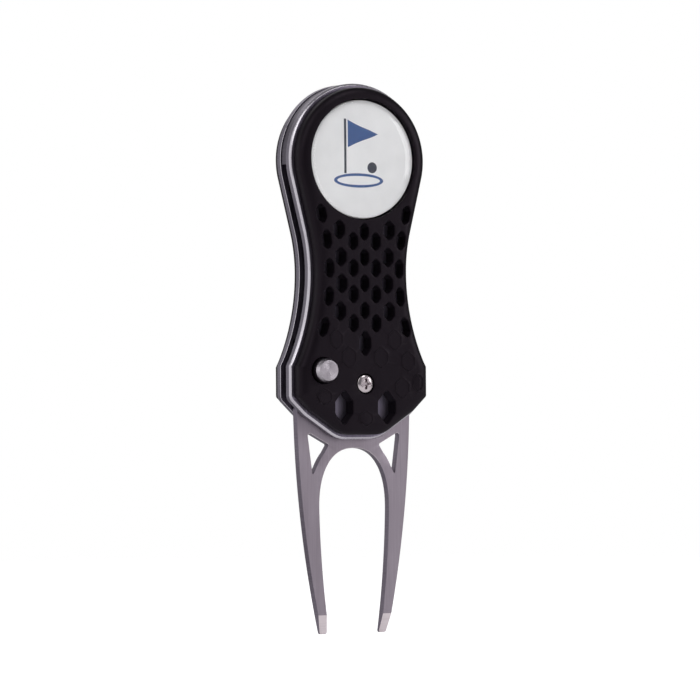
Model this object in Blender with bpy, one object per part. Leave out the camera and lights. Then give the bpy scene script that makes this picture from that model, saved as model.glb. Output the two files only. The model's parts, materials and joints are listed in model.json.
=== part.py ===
"""Divot repair tool with a folding two-prong fork, a button lock and a lift-off ball marker.

The tool stands on its fork tips: +Z runs from the tips to the head, and the front faces -Y.
The origin is on the ground under the middle of the bounding box. Sizes are in metres.

Most shapes are drawn as seen from the front, in x and z measured from the fork's pivot, and
are given a depth: positive depth is towards the front, negative towards the back, and zero is
the middle of the fork's blade.
"""

import bmesh
import bpy
from math import asin, atan2, cos, degrees, hypot, pi, radians, sin
from mathutils import Vector

MM = 0.001

# Driving dimensions: where the pivot is
TIP_DROP = 52.45 * MM  # pivot to fork tips
BUTTON_FACE = 8.4 * MM  # depth of the foremost face
BACK_FACE = -5.95 * MM  # depth of the rearmost face
PIVOT = Vector((0.0, (BUTTON_FACE + BACK_FACE) / 2, TIP_DROP))

# Driving dimensions: the layers, as depths from the middle of the fork
GAP = 0.3 * MM
FORK_FACE = 0.85 * MM
LINER_INNER = 1.15 * MM
LINER_OUTER = 2.85 * MM
GRIP_INNER = 3.05 * MM
GRIP_FACE = 5.95 * MM
REAR_HOLE_FLOOR = -5.2 * MM  # the rear grip's blind holes end here
REAR_CELL_FLOOR = -4.95 * MM  # and its two blind cells here

# Driving dimensions: the handle seen from the front
HEAD_RADIUS = 16.2 * MM
HEAD_Z = 47.1 * MM
WAIST_X = 11.8 * MM
WAIST_Z = 23.5 * MM
UPPER_WAIST_RADIUS = 34.0 * MM
LOWER_WAIST_RADIUS = 43.5 * MM
FLANK_X = 16.55 * MM
FLANK_TOP_Z = 3.9 * MM
FLANK_BOTTOM_Z = -3.1 * MM
HIP_X = 13.0 * MM
HIP_Z = -6.45 * MM
BASE_X = 5.0 * MM
BASE_Z = -11.62 * MM
FLANK_RADIUS = 1.8 * MM  # the corners' radii
HIP_RADIUS = 3.0 * MM
BASE_RADIUS = 7.0 * MM
GRIP_INSET = 0.95 * MM  # the liners show this far past the grips
OUTER_CHAMFER = 0.4 * MM

# Driving dimensions: the ball marker and its seat
MARKER_RADIUS = 12.5 * MM
MARKER_Z = 47.2 * MM
MARKER_BACK = 3.95 * MM
MARKER_DISC_FACE = 4.7 * MM
MARKER_DOME_FACE = 5.9 * MM
MARKER_POCKET_FLOOR = 3.75 * MM
MAGNET_RADIUS = 4.0 * MM

# Driving dimensions: the pivot
SLEEVE_RADIUS = 2.5 * MM
SLEEVE_HEAD_RADIUS = 3.3 * MM
SLEEVE_HEAD = (-4.95 * MM, -5.8 * MM)  # where its head begins and ends
SLEEVE_END = 2.7 * MM
SPRING_POCKET_RADIUS = 5.6 * MM
SPRING_POCKET_FLOOR = -4.0 * MM
SPRING_RADIUS = 4.6 * MM
SPRING_WIRE = 0.7 * MM
SPRING_TURNS = 2.0
SPRING_START = 20.0  # degrees
TANG_RADIUS = 8.8 * MM
THRUST_RING_RADII = (5.9 * MM, 7.1 * MM)

# Driving dimensions: the lock
BUTTON_X = -10.25 * MM
BUTTON_Z = 2.78 * MM
BUTTON_RADIUS = 2.55 * MM
BUTTON_TOP_RADIUS = 2.12 * MM
BUTTON_TAPER = 1.1 * MM  # how far the cap's taper reaches down its side
BUTTON_TRAVEL = 1.6 * MM
STEM_RADIUS = 1.3 * MM
COLLAR_RADIUS = 2.7 * MM
COLLAR_THICKNESS = 1.6 * MM

# Driving dimensions: the fork
SHOULDER_Z = -6.5 * MM
SHOULDER_X = 13.85 * MM
EAR_Z = -4.7 * MM  # the stop ears at the shoulders' outer ends
EAR_INNER_X = 12.7 * MM
ARCH_TOP_Z = -13.45 * MM
ARCH_SIDE_X = 8.5 * MM
ARCH_SIDE_Z = -26.0 * MM
TIP_OUTER_X = 8.2 * MM
TIP_INNER_X = 6.35 * MM
TIP_GRIND = 4.0 * MM

# Driving dimensions: the spacer that joins the liners round the head
SPACER_OUTER_RADIUS = 15.95 * MM
SPACER_INNER_RADIUS = 12.75 * MM
SPACER_HALF_THICKNESS = 0.95 * MM
SPACER_ENDS = (184, -4)  # degrees round the head

# Where pins and screws stand, as (x, z)
HEAD_PIN = (12.6 * MM, 53.6 * MM)
OPEN_STOP = (-13.0 * MM, -3.4 * MM)
CLOSED_STOP = (-11.2 * MM, 44.6 * MM)
STOP_RADIUS = 1.0 * MM
SPIGOT_RADIUS = 0.7 * MM
SPIGOT_END = 2.75 * MM
GRIP_SCREWS = {
    "head_left": (-12.6 * MM, 41.2 * MM),
    "head_right": (12.6 * MM, 41.2 * MM),
    "foot_left": (-11.9 * MM, 8.3 * MM),
    "foot_right": (11.9 * MM, 8.3 * MM),
}

# The honeycomb's right half: (x, z, width, height, lean in degrees) of each long hexagon
MIDDLE_CELLS = [(0.0, z, 2.2, 4.1, 0) for z in (31.9, 26.5, 21.1, 15.4)]
INNER_CELLS = [(2.75, z, 2.4, 4.25, 0) for z in (29.9, 24.3, 18.8, 12.7)]
OUTER_PLACES = ((6.1, 32.3), (5.75, 26.6), (5.6, 21.0), (6.0, 15.2))
OUTER_CELLS = [(x, z, 2.7, 4.45, 0) for x, z in OUTER_PLACES]
EDGE_CELLS = [
    (10.3, 35.6, 2.2, 4.7, -14),
    (9.05, 30.2, 2.2, 4.8, -8),
    (8.5, 24.2, 2.2, 4.8, -2),
    (8.7, 18.3, 2.2, 4.8, 6),
    (9.95, 11.9, 2.2, 5.0, 17),
]
HONEYCOMB = MIDDLE_CELLS + INNER_CELLS + OUTER_CELLS + EDGE_CELLS
FOOT_CELL = (0.0, 8.5, 2.9, 6.1, 0)
WINDOW_CELL = (5.2, -4.95, 4.3, 7.6, 0)


def clear_scene():
    for thing in list(bpy.data.objects):
        bpy.data.objects.remove(thing)


def material(name, colour, roughness, metallic):
    made = bpy.data.materials.new(name)
    made.use_nodes = True
    shader = made.node_tree.nodes["Principled BSDF"]
    shader.inputs["Base Color"].default_value = (*colour, 1.0)
    shader.inputs["Roughness"].default_value = roughness
    shader.inputs["Metallic"].default_value = metallic
    made.diffuse_color = (*colour, 1.0)
    return made


def add_object(name, mesh_data, origin, look):
    """Places a mesh drawn round its own origin, given as (x, depth, z) from the pivot."""
    bmesh.ops.recalc_face_normals(mesh_data, faces=mesh_data.faces)
    mesh = bpy.data.meshes.new(name)
    mesh_data.to_mesh(mesh)
    mesh_data.free()
    mesh.shade_smooth()
    mesh.set_sharp_from_angle(angle=radians(30))
    if look:
        mesh.materials.append(look)
    thing = bpy.data.objects.new(name, mesh)
    bpy.context.scene.collection.objects.link(thing)
    x, depth, z = origin
    thing.location = (x, -depth, z)
    thing.parent = bpy.data.objects["pivot_frame"]
    return thing


def cut(thing, *cutters):
    for cutter in cutters:
        cutter.hide_render = True
        cutter.display_type = "WIRE"
        boolean = thing.modifiers.new(cutter.name, "BOOLEAN")
        boolean.operation = "DIFFERENCE"
        boolean.object = cutter


def stacked(name, rings, depths, look=None, origin=(0.0, 0.0, 0.0)):
    """A solid through outlines of equally many (x, z) points, one at each depth."""
    made = bmesh.new()
    layers = []
    for ring, depth in zip(rings, depths):
        layers.append([made.verts.new((x, -depth, z)) for x, z in ring])
    count = len(rings[0])
    for near, far in zip(layers, layers[1:]):
        for i in range(count):
            j = (i + 1) % count
            made.faces.new((near[i], near[j], far[j], far[i]))
    made.faces.new(layers[0])
    made.faces.new(layers[-1])
    return add_object(name, made, origin, look)


def slab(name, outline, low, high, look=None):
    return stacked(name, [outline, outline], [low, high], look)


def turned(name, profile, place, look=None, segments=24):
    """A solid turned about the depth axis from a closed profile of (radius, depth) points."""
    made = bmesh.new()
    rings = []
    for radius, depth in profile:
        turns = segments if radius > 0 else 1
        angles = [2 * pi * i / turns for i in range(turns)]
        rings.append([made.verts.new((radius * cos(a), -depth, radius * sin(a))) for a in angles])
    closed = all(radius > 0 for radius, _ in profile)
    pairs = list(zip(rings, rings[1:])) + ([(rings[-1], rings[0])] if closed else [])
    for near, far in pairs:
        for i in range(segments):
            j = (i + 1) % segments
            corners = [near[i % len(near)], near[j % len(near)]]
            corners += [far[j % len(far)], far[i % len(far)]]
            made.faces.new(list(dict.fromkeys(corners)))
    return add_object(name, made, (place[0], 0.0, place[1]), look)


def cylinder(name, radius, low, high, place=(0.0, 0.0), look=None, segments=24):
    profile = [(0.0, low), (radius, low), (radius, high), (0.0, high)]
    return turned(name, profile, place, look, segments)


def stepped_cutter(name, narrow, wide, top, place=(0.0, 0.0), segments=24):
    """A counterbore: a narrow and a wide (radius, depth of its floor), both open at the top."""
    profile = [(0.0, narrow[1]), narrow, (narrow[0], wide[1]), wide, (wide[0], top), (0.0, top)]
    return turned(name, profile, place, segments=segments)


def tube(name, route, radius, look, sides=6):
    """A round wire through a list of points given as (x, depth, z)."""
    points = [Vector((x, -depth, z)) for x, depth, z in route]
    made = bmesh.new()
    rings = []
    across = (points[1] - points[0]).orthogonal()
    angles = [2 * pi * k / sides for k in range(sides)]
    for i, point in enumerate(points):
        along = (points[min(i + 1, len(points) - 1)] - points[max(i - 1, 0)]).normalized()
        across = (across - along * across.dot(along)).normalized()
        other = along.cross(across)
        spokes = [across * cos(a) + other * sin(a) for a in angles]
        rings.append([made.verts.new(point + radius * spoke) for spoke in spokes])
    for near, far in zip(rings, rings[1:]):
        for k in range(sides):
            m = (k + 1) % sides
            made.faces.new((near[k], near[m], far[m], far[k]))
    made.faces.new(rings[0])
    made.faces.new(rings[-1])
    return add_object(name, made, (0.0, 0.0, 0.0), look)


# Outlines


def arc(centre, radius, start, end, steps):
    """Points along an arc, with angles in degrees counted from +x towards +z."""
    return [
        (centre[0] + radius * cos(radians(start + (end - start) * i / steps)),
         centre[1] + radius * sin(radians(start + (end - start) * i / steps)))
        for i in range(steps + 1)
    ]


def handle_half():
    """The handle's right half from the top of the head down, as (x, z, corner radius)."""
    upper_centre = (WAIST_X + UPPER_WAIST_RADIUS, WAIST_Z)
    lower_centre = (WAIST_X + LOWER_WAIST_RADIUS, WAIST_Z)
    # A straight line touches the head's and the upper waist's circles, which curve opposite ways
    between = (upper_centre[0], upper_centre[1] - HEAD_Z)
    span = hypot(*between)
    reach = HEAD_RADIUS + UPPER_WAIST_RADIUS
    lean = atan2(between[1], between[0]) + pi / 2 - atan2(reach, (span**2 - reach**2) ** 0.5)
    touch = lean * 180 / pi
    lower_end = 180 + degrees(asin((WAIST_Z - FLANK_TOP_Z) / LOWER_WAIST_RADIUS))
    smooth = arc((0.0, HEAD_Z), HEAD_RADIUS, 90, touch, 14)
    smooth += arc(upper_centre, UPPER_WAIST_RADIUS, 180 + touch, 180, 4)
    smooth += arc(lower_centre, LOWER_WAIST_RADIUS, 180, lower_end, 6)[1:-1]
    corners = [
        (FLANK_X, FLANK_TOP_Z, FLANK_RADIUS),
        (FLANK_X, FLANK_BOTTOM_Z, FLANK_RADIUS),
        (HIP_X, HIP_Z, HIP_RADIUS),
        (BASE_X, BASE_Z, BASE_RADIUS),
    ]
    return [(x, z, 0.0) for x, z in smooth] + corners


def mirrored(half):
    """Closes a right half, whose first point lies on the middle line."""
    return half + [(-p[0], *p[1:]) for p in reversed(half) if p[0] > 1e-9]


def moved_in(outline, inset):
    """Moves each edge of a clockwise outline inwards by the same distance."""
    moved = []
    count = len(outline)
    for i, (x, z, radius) in enumerate(outline):
        corner = Vector((x, z))
        before = (corner - Vector(outline[i - 1][:2])).normalized()
        after = (Vector(outline[(i + 1) % count][:2]) - corner).normalized()
        inward = Vector((before.y + after.y, -before.x - after.x)).normalized()
        step = inset / inward.dot(Vector((before.y, -before.x)))
        moved.append((x + inward.x * step, z + inward.y * step, radius))
    return moved


def rounded(outline, steps=3, less=0.0):
    """Replaces each corner that has a radius by an arc."""
    points = []
    count = len(outline)
    for i, (x, z, radius) in enumerate(outline):
        if radius == 0:
            points.append((x, z))
            continue
        radius = max(radius - less, 0.4 * MM)
        corner = Vector((x, z))
        back = (Vector(outline[i - 1][:2]) - corner).normalized()
        on = (Vector(outline[(i + 1) % count][:2]) - corner).normalized()
        half_angle = back.angle(on) / 2
        reach = radius * cos(half_angle) / sin(half_angle)
        centre = corner + (back + on).normalized() * (radius / sin(half_angle))
        start = corner + back * reach - centre
        end = corner + on * reach - centre
        for k in range(steps + 1):
            spoke = start.lerp(end, k / steps).normalized() * radius
            points.append(tuple(centre + spoke))
    return points


def handle_outline(inset=0.0):
    return rounded(moved_in(mirrored(handle_half()), inset), less=inset)


def hexagon(cell):
    """A long upright hexagon's corners, from its (x, z, width, height, lean)."""
    x, z, width, height, lean = cell
    half_width, half_height = width * MM / 2, height * MM / 2
    side = half_height * 0.42  # half the length of its upright sides
    corners = [
        (0.0, half_height), (half_width, side), (half_width, -side),
        (0.0, -half_height), (-half_width, -side), (-half_width, side),
    ]
    c, s = cos(radians(lean)), sin(radians(lean))
    return [(x * MM + c * a - s * b, z * MM + s * a + c * b) for a, b in corners]


def both_sides(cells):
    other = [(-x, z, width, height, -lean) for x, z, width, height, lean in cells if x > 0]
    return cells + other


def cell_cutter(name, cells, low, high):
    """One cutter of separate hexagonal prisms."""
    made = bmesh.new()
    for cell in cells:
        near = [made.verts.new((x, -low, z)) for x, z in hexagon(cell)]
        far = [made.verts.new((x, -high, z)) for x, z in hexagon(cell)]
        for i in range(6):
            j = (i + 1) % 6
            made.faces.new((near[i], near[j], far[j], far[i]))
        made.faces.new(near)
        made.faces.new(far)
    return add_object(name, made, (0.0, 0.0, 0.0), None)


# Handle


def liner(name, side, look):
    """A steel plate whose outer edge is chamfered; side is 1 in front and -1 behind."""
    rings = [handle_outline(inset) for inset in (0.0, 0.0, OUTER_CHAMFER)]
    depths = [LINER_INNER, LINER_OUTER - OUTER_CHAMFER, LINER_OUTER]
    return stacked(name, rings, [side * depth for depth in depths], look)


def grip(name, side, look):
    """A moulded scale with upright sides and a rounded shoulder."""
    shoulder = [(0.0, 4.5 * MM), (0.25 * MM, 5.1 * MM), (0.95 * MM, 5.6 * MM), (2.2 * MM, GRIP_FACE)]
    steps = [(0.0, GRIP_INNER)] + shoulder
    rings = [handle_outline(GRIP_INSET + inset) for inset, _ in steps]
    return stacked(name, rings, [side * depth for _, depth in steps], look)


def cut_pin_holes(plate, side, places, radius):
    low, high = side * (LINER_INNER - MM), side * (LINER_OUTER + MM)
    for i, place in enumerate(places):
        cut(plate, cylinder(f"{plate.name}_hole_{i}", radius, low, high, place, segments=12))


def countersunk_hole(side):
    """The profile of a grip screw's hole in a liner: its head's recess, then its shank's hole."""
    low, high = side * (LINER_INNER - MM), side * (LINER_OUTER + MM)
    recess_floor = side * (LINER_INNER + 0.9 * MM)
    wide, narrow = 1.7 * MM, 1.0 * MM
    profile = [(0.0, low), (wide, low), (wide, recess_floor)]
    return profile + [(narrow, recess_floor), (narrow, high), (0.0, high)]


def build_liners(steel):
    head_pins = [HEAD_PIN, (-HEAD_PIN[0], HEAD_PIN[1])]
    stops = [OPEN_STOP, CLOSED_STOP]
    for name, side in (("front_liner", 1), ("rear_liner", -1)):
        plate = liner(name, side, steel)
        cut_pin_holes(plate, side, head_pins + stops, 0.9 * MM)
        for key, place in GRIP_SCREWS.items():
            cut(plate, turned(f"{name}_{key}_hole", countersunk_hole(side), place, segments=12))
    front, rear = bpy.data.objects["front_liner"], bpy.data.objects["rear_liner"]
    washer_seat = LINER_INNER + 0.4 * MM
    button = (BUTTON_X, BUTTON_Z)
    out = LINER_OUTER + MM
    sleeve_hole, washer_hole = (SLEEVE_RADIUS + GAP, out), (6.2 * MM, washer_seat)
    magnet_floor = 1.85 * MM
    cut(front, stepped_cutter("front_pivot_hole", sleeve_hole, washer_hole, 0.0))
    cut(front, cylinder("front_stem_hole", STEM_RADIUS + GAP, 0.0, out, button))
    magnet_seat = cylinder("magnet_seat", MAGNET_RADIUS + GAP, magnet_floor, out, (0.0, MARKER_Z))
    cut(front, magnet_seat)
    ring_seat = (THRUST_RING_RADII[1] + 0.2 * MM, -washer_seat)
    cut(rear, stepped_cutter("rear_pivot_hole", (SPRING_POCKET_RADIUS, -out), ring_seat, 0.0))
    cut(rear, cylinder("rear_collar_hole", COLLAR_RADIUS + GAP, 0.0, -out, button))


def build_front_grip(plastic):
    scale = grip("front_grip", 1, plastic)
    out = GRIP_FACE + MM
    button = (BUTTON_X, BUTTON_Z)
    inner = GRIP_INNER - MM
    magnet_hole = (MAGNET_RADIUS + GAP, inner)
    marker_seat = (MARKER_RADIUS + 0.2 * MM, MARKER_POCKET_FLOOR)
    pocket = stepped_cutter("marker_pocket", magnet_hole, marker_seat, out, (0.0, MARKER_Z), 48)
    cut(scale, pocket)
    cells = both_sides(HONEYCOMB + [FOOT_CELL, WINDOW_CELL])
    cut(scale, cell_cutter("front_cells", cells, inner, out))
    cut(scale, stepped_cutter("screw_pocket", (1.6 * MM, inner), (2.15 * MM, 4.4 * MM), out))
    cut(scale, cylinder("button_hole", BUTTON_RADIUS + 0.2 * MM, inner, out, button))
    cut_screw_threads(scale, 1)


def build_rear_grip(plastic):
    scale = grip("rear_grip", -1, plastic)
    out = -GRIP_FACE - MM
    inner = -GRIP_INNER + MM
    cut(scale, cell_cutter("rear_cells", both_sides(HONEYCOMB), inner, out))
    blind_cells = both_sides([FOOT_CELL, WINDOW_CELL])
    cut(scale, cell_cutter("rear_blind_cells", blind_cells, REAR_CELL_FLOOR, out))
    hole, head_hole = SLEEVE_RADIUS + GAP, SLEEVE_HEAD_RADIUS + GAP
    head_seat = SLEEVE_HEAD[0] + 0.2 * MM
    cut(scale, turned("rear_pivot_pocket", [
        (0.0, inner), (SPRING_POCKET_RADIUS, inner), (SPRING_POCKET_RADIUS, SPRING_POCKET_FLOOR),
        (hole, SPRING_POCKET_FLOOR), (hole, head_seat), (head_hole, head_seat),
        (head_hole, out), (0.0, out),
    ], (0.0, 0.0)))
    button = (BUTTON_X, BUTTON_Z)
    pocket = cylinder("rear_plunger_pocket", COLLAR_RADIUS + GAP, inner, REAR_HOLE_FLOOR, button)
    leg, leg_hole = spring_leg(SPRING_TURNS), 0.6 * MM
    leg_cut = cylinder("rear_leg_hole", leg_hole, -3.5 * MM, REAR_HOLE_FLOOR, leg, segments=12)
    cut(scale, pocket, leg_cut)
    cut_screw_threads(scale, -1)


def cut_screw_threads(scale, side):
    for key, place in GRIP_SCREWS.items():
        low, high = side * (GRIP_INNER - MM), side * 4.7 * MM
        cut(scale, cylinder(f"{scale.name}_{key}_thread", 0.85 * MM, low, high, place, segments=12))


def build_grip_screws(steel):
    """Small screws put in from inside: heads in the liners and threads in the grips."""
    head_low, head_high, socket_floor, tip = 1.25 * MM, 1.85 * MM, 1.5 * MM, 4.5 * MM
    socket, head, shank = 0.5 * MM, 1.4 * MM, 0.7 * MM
    profile = [
        (0.0, socket_floor), (socket, socket_floor), (socket, head_low), (head, head_low),
        (head, head_high), (shank, head_high), (shank, tip), (0.0, tip),
    ]
    for end, side in (("front", 1), ("rear", -1)):
        facing = [(radius, side * depth) for radius, depth in profile]
        for key, place in GRIP_SCREWS.items():
            turned(f"{end}_grip_screw_{key}", facing, place, steel, segments=12)


def build_pins(steel):
    """Plain pins through the head's spacer, and shouldered pins that stop the fork."""
    for name, side in (("left", -1), ("right", 1)):
        place = (side * HEAD_PIN[0], HEAD_PIN[1])
        cylinder(f"head_pin_{name}", SPIGOT_RADIUS, SPIGOT_END, -SPIGOT_END, place, steel, 16)
    shoulder = SPACER_HALF_THICKNESS
    profile = [
        (0.0, SPIGOT_END), (SPIGOT_RADIUS, SPIGOT_END), (SPIGOT_RADIUS, shoulder),
        (STOP_RADIUS, shoulder), (STOP_RADIUS, -shoulder),
        (SPIGOT_RADIUS, -shoulder), (SPIGOT_RADIUS, -SPIGOT_END), (0.0, -SPIGOT_END),
    ]
    for name, place in (("open_stop_pin", OPEN_STOP), ("closed_stop_pin", CLOSED_STOP)):
        turned(name, profile, place, steel, segments=16)


def build_head_spacer(steel):
    """A steel arc that keeps the liners apart round the head and leaves room for the folded fork."""
    centre = (0.0, HEAD_Z)
    start, end = SPACER_ENDS
    outline = arc(centre, SPACER_OUTER_RADIUS, start, end, 72)
    outline += arc(centre, SPACER_INNER_RADIUS, end, start, 72)
    spacer = slab("head_spacer", outline, SPACER_HALF_THICKNESS, -SPACER_HALF_THICKNESS, steel)
    out = SPACER_HALF_THICKNESS + MM
    for side in (-1, 1):
        place = (side * HEAD_PIN[0], HEAD_PIN[1])
        cut(spacer, cylinder("spacer_hole", SPIGOT_RADIUS + 0.2 * MM, out, -out, place, None, 16))


# Fork


def arch_side(turn, offset=0.0):
    """A point on the arch between the prongs, or this far outside it.

    The turn is 0 degrees at the arch's top and 90 at its side.
    """
    height = ARCH_TOP_Z - ARCH_SIDE_Z
    power = 2 / 2.3  # a superellipse a little squarer than an ellipse
    x = ARCH_SIDE_X * sin(radians(turn)) ** power
    z = ARCH_SIDE_Z + height * cos(radians(turn)) ** power
    across = sin(radians(turn)) ** (2 - power) / ARCH_SIDE_X
    upright = cos(radians(turn)) ** (2 - power) / height
    length = hypot(across, upright)
    return (x + offset * across / length, z + offset * upright / length)


def bowed(start, end, bow, steps):
    """Points from start to end along a shallow parabola that stands out by bow in the middle."""
    points = []
    for i in range(steps + 1):
        t = i / steps
        x = start[0] + (end[0] - start[0]) * t + 4 * bow * t * (1 - t)
        points.append((x, start[1] + (end[1] - start[1]) * t))
    return points


def fork_half():
    """The fork's right half from the top of its tang down the outside and up the inside."""
    meet = atan2(SHOULDER_Z, (TANG_RADIUS**2 - SHOULDER_Z**2) ** 0.5) * 180 / pi
    points = arc((0.0, 0.0), TANG_RADIUS, 90, meet, 20)
    points += arc((EAR_INNER_X - 0.4 * MM, SHOULDER_Z + 0.4 * MM), 0.4 * MM, -90, 0, 2)
    points += arc((EAR_INNER_X + 0.3 * MM, EAR_Z - 0.3 * MM), 0.3 * MM, 180, 90, 2)
    points += arc((SHOULDER_X - 0.5 * MM, EAR_Z - 0.5 * MM), 0.5 * MM, 90, 0, 2)
    shoulder, tip_z = (SHOULDER_X - 0.1 * MM, -8.2 * MM), 0.35 * MM - TIP_DROP
    points += bowed(shoulder, (TIP_OUTER_X, tip_z), 1.05 * MM, 8)
    points += [(TIP_OUTER_X - 0.3 * MM, -TIP_DROP), (TIP_INNER_X + 0.3 * MM, -TIP_DROP)]
    points += bowed((TIP_INNER_X, tip_z), (ARCH_SIDE_X, ARCH_SIDE_Z), 0.42 * MM, 7)
    points += [arch_side(turn) for turn in (75, 62, 50, 39, 28, 16, 0)]
    return points


def fork_window(side):
    """The three-cornered window in the fork's root, whose inner side follows the arch."""
    outer = [(10.8, -10.25), (11.2, -10.65), (10.2, -18.7), (9.9, -18.8)]
    top = [(6.35, -12.95), (6.6, -12.5)]
    points = [(x * MM, z * MM) for x, z in outer]
    points += [arch_side(turn, 2.15 * MM) for turn in (54, 50, 46, 42, 38)]
    points += [(x * MM, z * MM) for x, z in top]
    return [(side * x, z) for x, z in points]


def build_fork(steel):
    half = fork_half()
    outline = half + [(-x, z) for x, z in reversed(half) if x > 1e-9]
    fork = slab("fork", outline, FORK_FACE, -FORK_FACE, steel)
    out = FORK_FACE + MM
    for name, side in (("right", 1), ("left", -1)):
        cut(fork, slab(f"fork_window_{name}", fork_window(side), out, -out))
    cut(fork, cylinder("fork_pivot_hole", SLEEVE_RADIUS + 0.25 * MM, -out, out))
    for name, side in (("open", 1), ("closed", -1)):
        notch = (side * BUTTON_X, side * BUTTON_Z)
        cut(fork, cylinder(f"fork_notch_{name}", COLLAR_RADIUS + 0.2 * MM, -out, out, notch))
    cut(fork, cylinder("fork_spring_hole", 0.65 * MM, -out, 0.4 * MM, spring_leg(0.0), segments=12))
    # The front of each tip is ground back to a thin end
    grind_top, tip_z, thin = TIP_GRIND - TIP_DROP, -TIP_DROP - 0.2 * MM, -0.25 * MM
    made = bmesh.new()
    ends = []
    for x in (-12 * MM, 12 * MM):
        corners = [(FORK_FACE, grind_top), (thin, tip_z), (2 * MM, tip_z), (2 * MM, grind_top)]
        ends.append([made.verts.new((x, -depth, z)) for depth, z in corners])
    for i in range(4):
        j = (i + 1) % 4
        made.faces.new((ends[0][i], ends[0][j], ends[1][j], ends[1][i]))
    made.faces.new(ends[0])
    made.faces.new(ends[1])
    cut(fork, add_object("fork_tip_grind", made, (0.0, 0.0, 0.0), None))


# Pivot


def spring_leg(turns):
    """Where the torsion spring's wire is after so many turns, as (x, z)."""
    angle = radians(SPRING_START) + 2 * pi * turns
    return (SPRING_RADIUS * cos(angle), SPRING_RADIUS * sin(angle))


def build_torsion_spring(steel):
    """Its front leg sits in the fork's tang and its rear leg in the rear grip."""
    first, last = -1.75 * MM, -3.5 * MM
    steps = 24
    route = []
    for i in range(steps + 1):
        x, z = spring_leg(SPRING_TURNS * i / steps)
        route.append((x, first + (last - first) * i / steps, z))
    front, rear = route[0], route[-1]
    route = [(front[0], depth, front[2]) for depth in (0.0, -1.0 * MM, -1.5 * MM)] + route[1:-1]
    route += [(rear[0], depth, rear[2]) for depth in (-3.7 * MM, -4.2 * MM, -5.0 * MM)]
    tube("torsion_spring", route, SPRING_WIRE / 2, steel)


def build_pivot(steel, brass, bronze):
    screw_face, head_back, shank_end = 6.15 * MM, 4.7 * MM, -4.6 * MM
    head, shank = 1.9 * MM, 1.2 * MM
    screw = turned("pivot_screw", [
        (0.0, screw_face), (head - 0.5 * MM, screw_face), (head, screw_face - 0.4 * MM),
        (head, head_back), (shank, head_back), (shank, shank_end), (0.0, shank_end),
    ], (0.0, 0.0), steel)
    long, half, slot_floor = 1.15 * MM, 0.25 * MM, 5.3 * MM  # the cross-shaped drive
    cross = []
    for a, b in ((1, 1), (1, -1), (-1, -1), (-1, 1)):
        quarter = [(a * half, b * long), (a * half, b * half), (a * long, b * half)]
        cross += quarter if a * b > 0 else quarter[::-1]
    cut(screw, slab("screw_cross", cross, slot_floor, screw_face + MM))
    bore = shank + 0.25 * MM
    head_face, head_end = SLEEVE_HEAD
    sleeve = turned("pivot_sleeve", [
        (SLEEVE_RADIUS, SLEEVE_END), (SLEEVE_RADIUS, head_face), (SLEEVE_HEAD_RADIUS, head_face),
        (SLEEVE_HEAD_RADIUS, head_end), (bore, head_end), (bore, SLEEVE_END),
    ], (0.0, 0.0), brass)
    length, width = 4 * MM, 0.4 * MM
    slot = [(length, width), (length, -width), (-length, -width), (-length, width)]
    cut(sleeve, slab("sleeve_slot", slot, head_end + 0.4 * MM, head_end - MM))
    washer_low, washer_high = 1.0 * MM, 1.4 * MM
    inner, outer = SLEEVE_RADIUS + GAP, 6.0 * MM
    turned("front_washer", [
        (inner, washer_low), (outer, washer_low), (outer, washer_high), (inner, washer_high),
    ], (0.0, 0.0), bronze)
    inner, outer = THRUST_RING_RADII
    turned("rear_thrust_ring", [
        (inner, -washer_low), (outer, -washer_low), (outer, -washer_high), (inner, -washer_high),
    ], (0.0, 0.0), bronze)


# Lock


def build_lock(steel, spring_steel):
    """A cap on a plunger, whose collar rests just behind the tang, in line with its notch."""
    button = (BUTTON_X, BUTTON_Z)
    underside = LINER_OUTER + BUTTON_TRAVEL + 0.25 * MM
    bore, bore_end, stem_end = STEM_RADIUS + 0.2 * MM, 7.2 * MM, 7.0 * MM
    turned("release_button", [
        (0.0, BUTTON_FACE), (BUTTON_TOP_RADIUS, BUTTON_FACE),
        (BUTTON_RADIUS, BUTTON_FACE - BUTTON_TAPER), (BUTTON_RADIUS, underside),
        (bore, underside), (bore, bore_end), (0.0, bore_end),
    ], button, steel)
    collar_face = -LINER_INNER
    collar_back = collar_face - COLLAR_THICKNESS
    spigot, spigot_end = 0.9 * MM, collar_back - 0.5 * MM
    turned("lock_plunger", [
        (0.0, stem_end), (STEM_RADIUS, stem_end), (STEM_RADIUS, collar_face),
        (COLLAR_RADIUS, collar_face), (COLLAR_RADIUS, collar_back),
        (spigot, collar_back), (spigot, spigot_end), (0.0, spigot_end),
    ], button, steel)
    # A cone spring, which can close almost flat
    wire = 0.2 * MM
    start, end = collar_back - wire - 0.12 * MM, REAR_HOLE_FLOOR + wire + 0.05 * MM
    steps, turns = 30, 2.5
    route = []
    for i in range(steps + 1):
        t = i / steps
        angle, radius = 2 * pi * turns * t, (1.35 + 0.95 * t) * MM
        x, z = BUTTON_X + radius * cos(angle), BUTTON_Z + radius * sin(angle)
        route.append((x, start + (end - start) * t, z))
    tube("plunger_spring", route, wire, spring_steel)


# Ball marker


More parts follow.
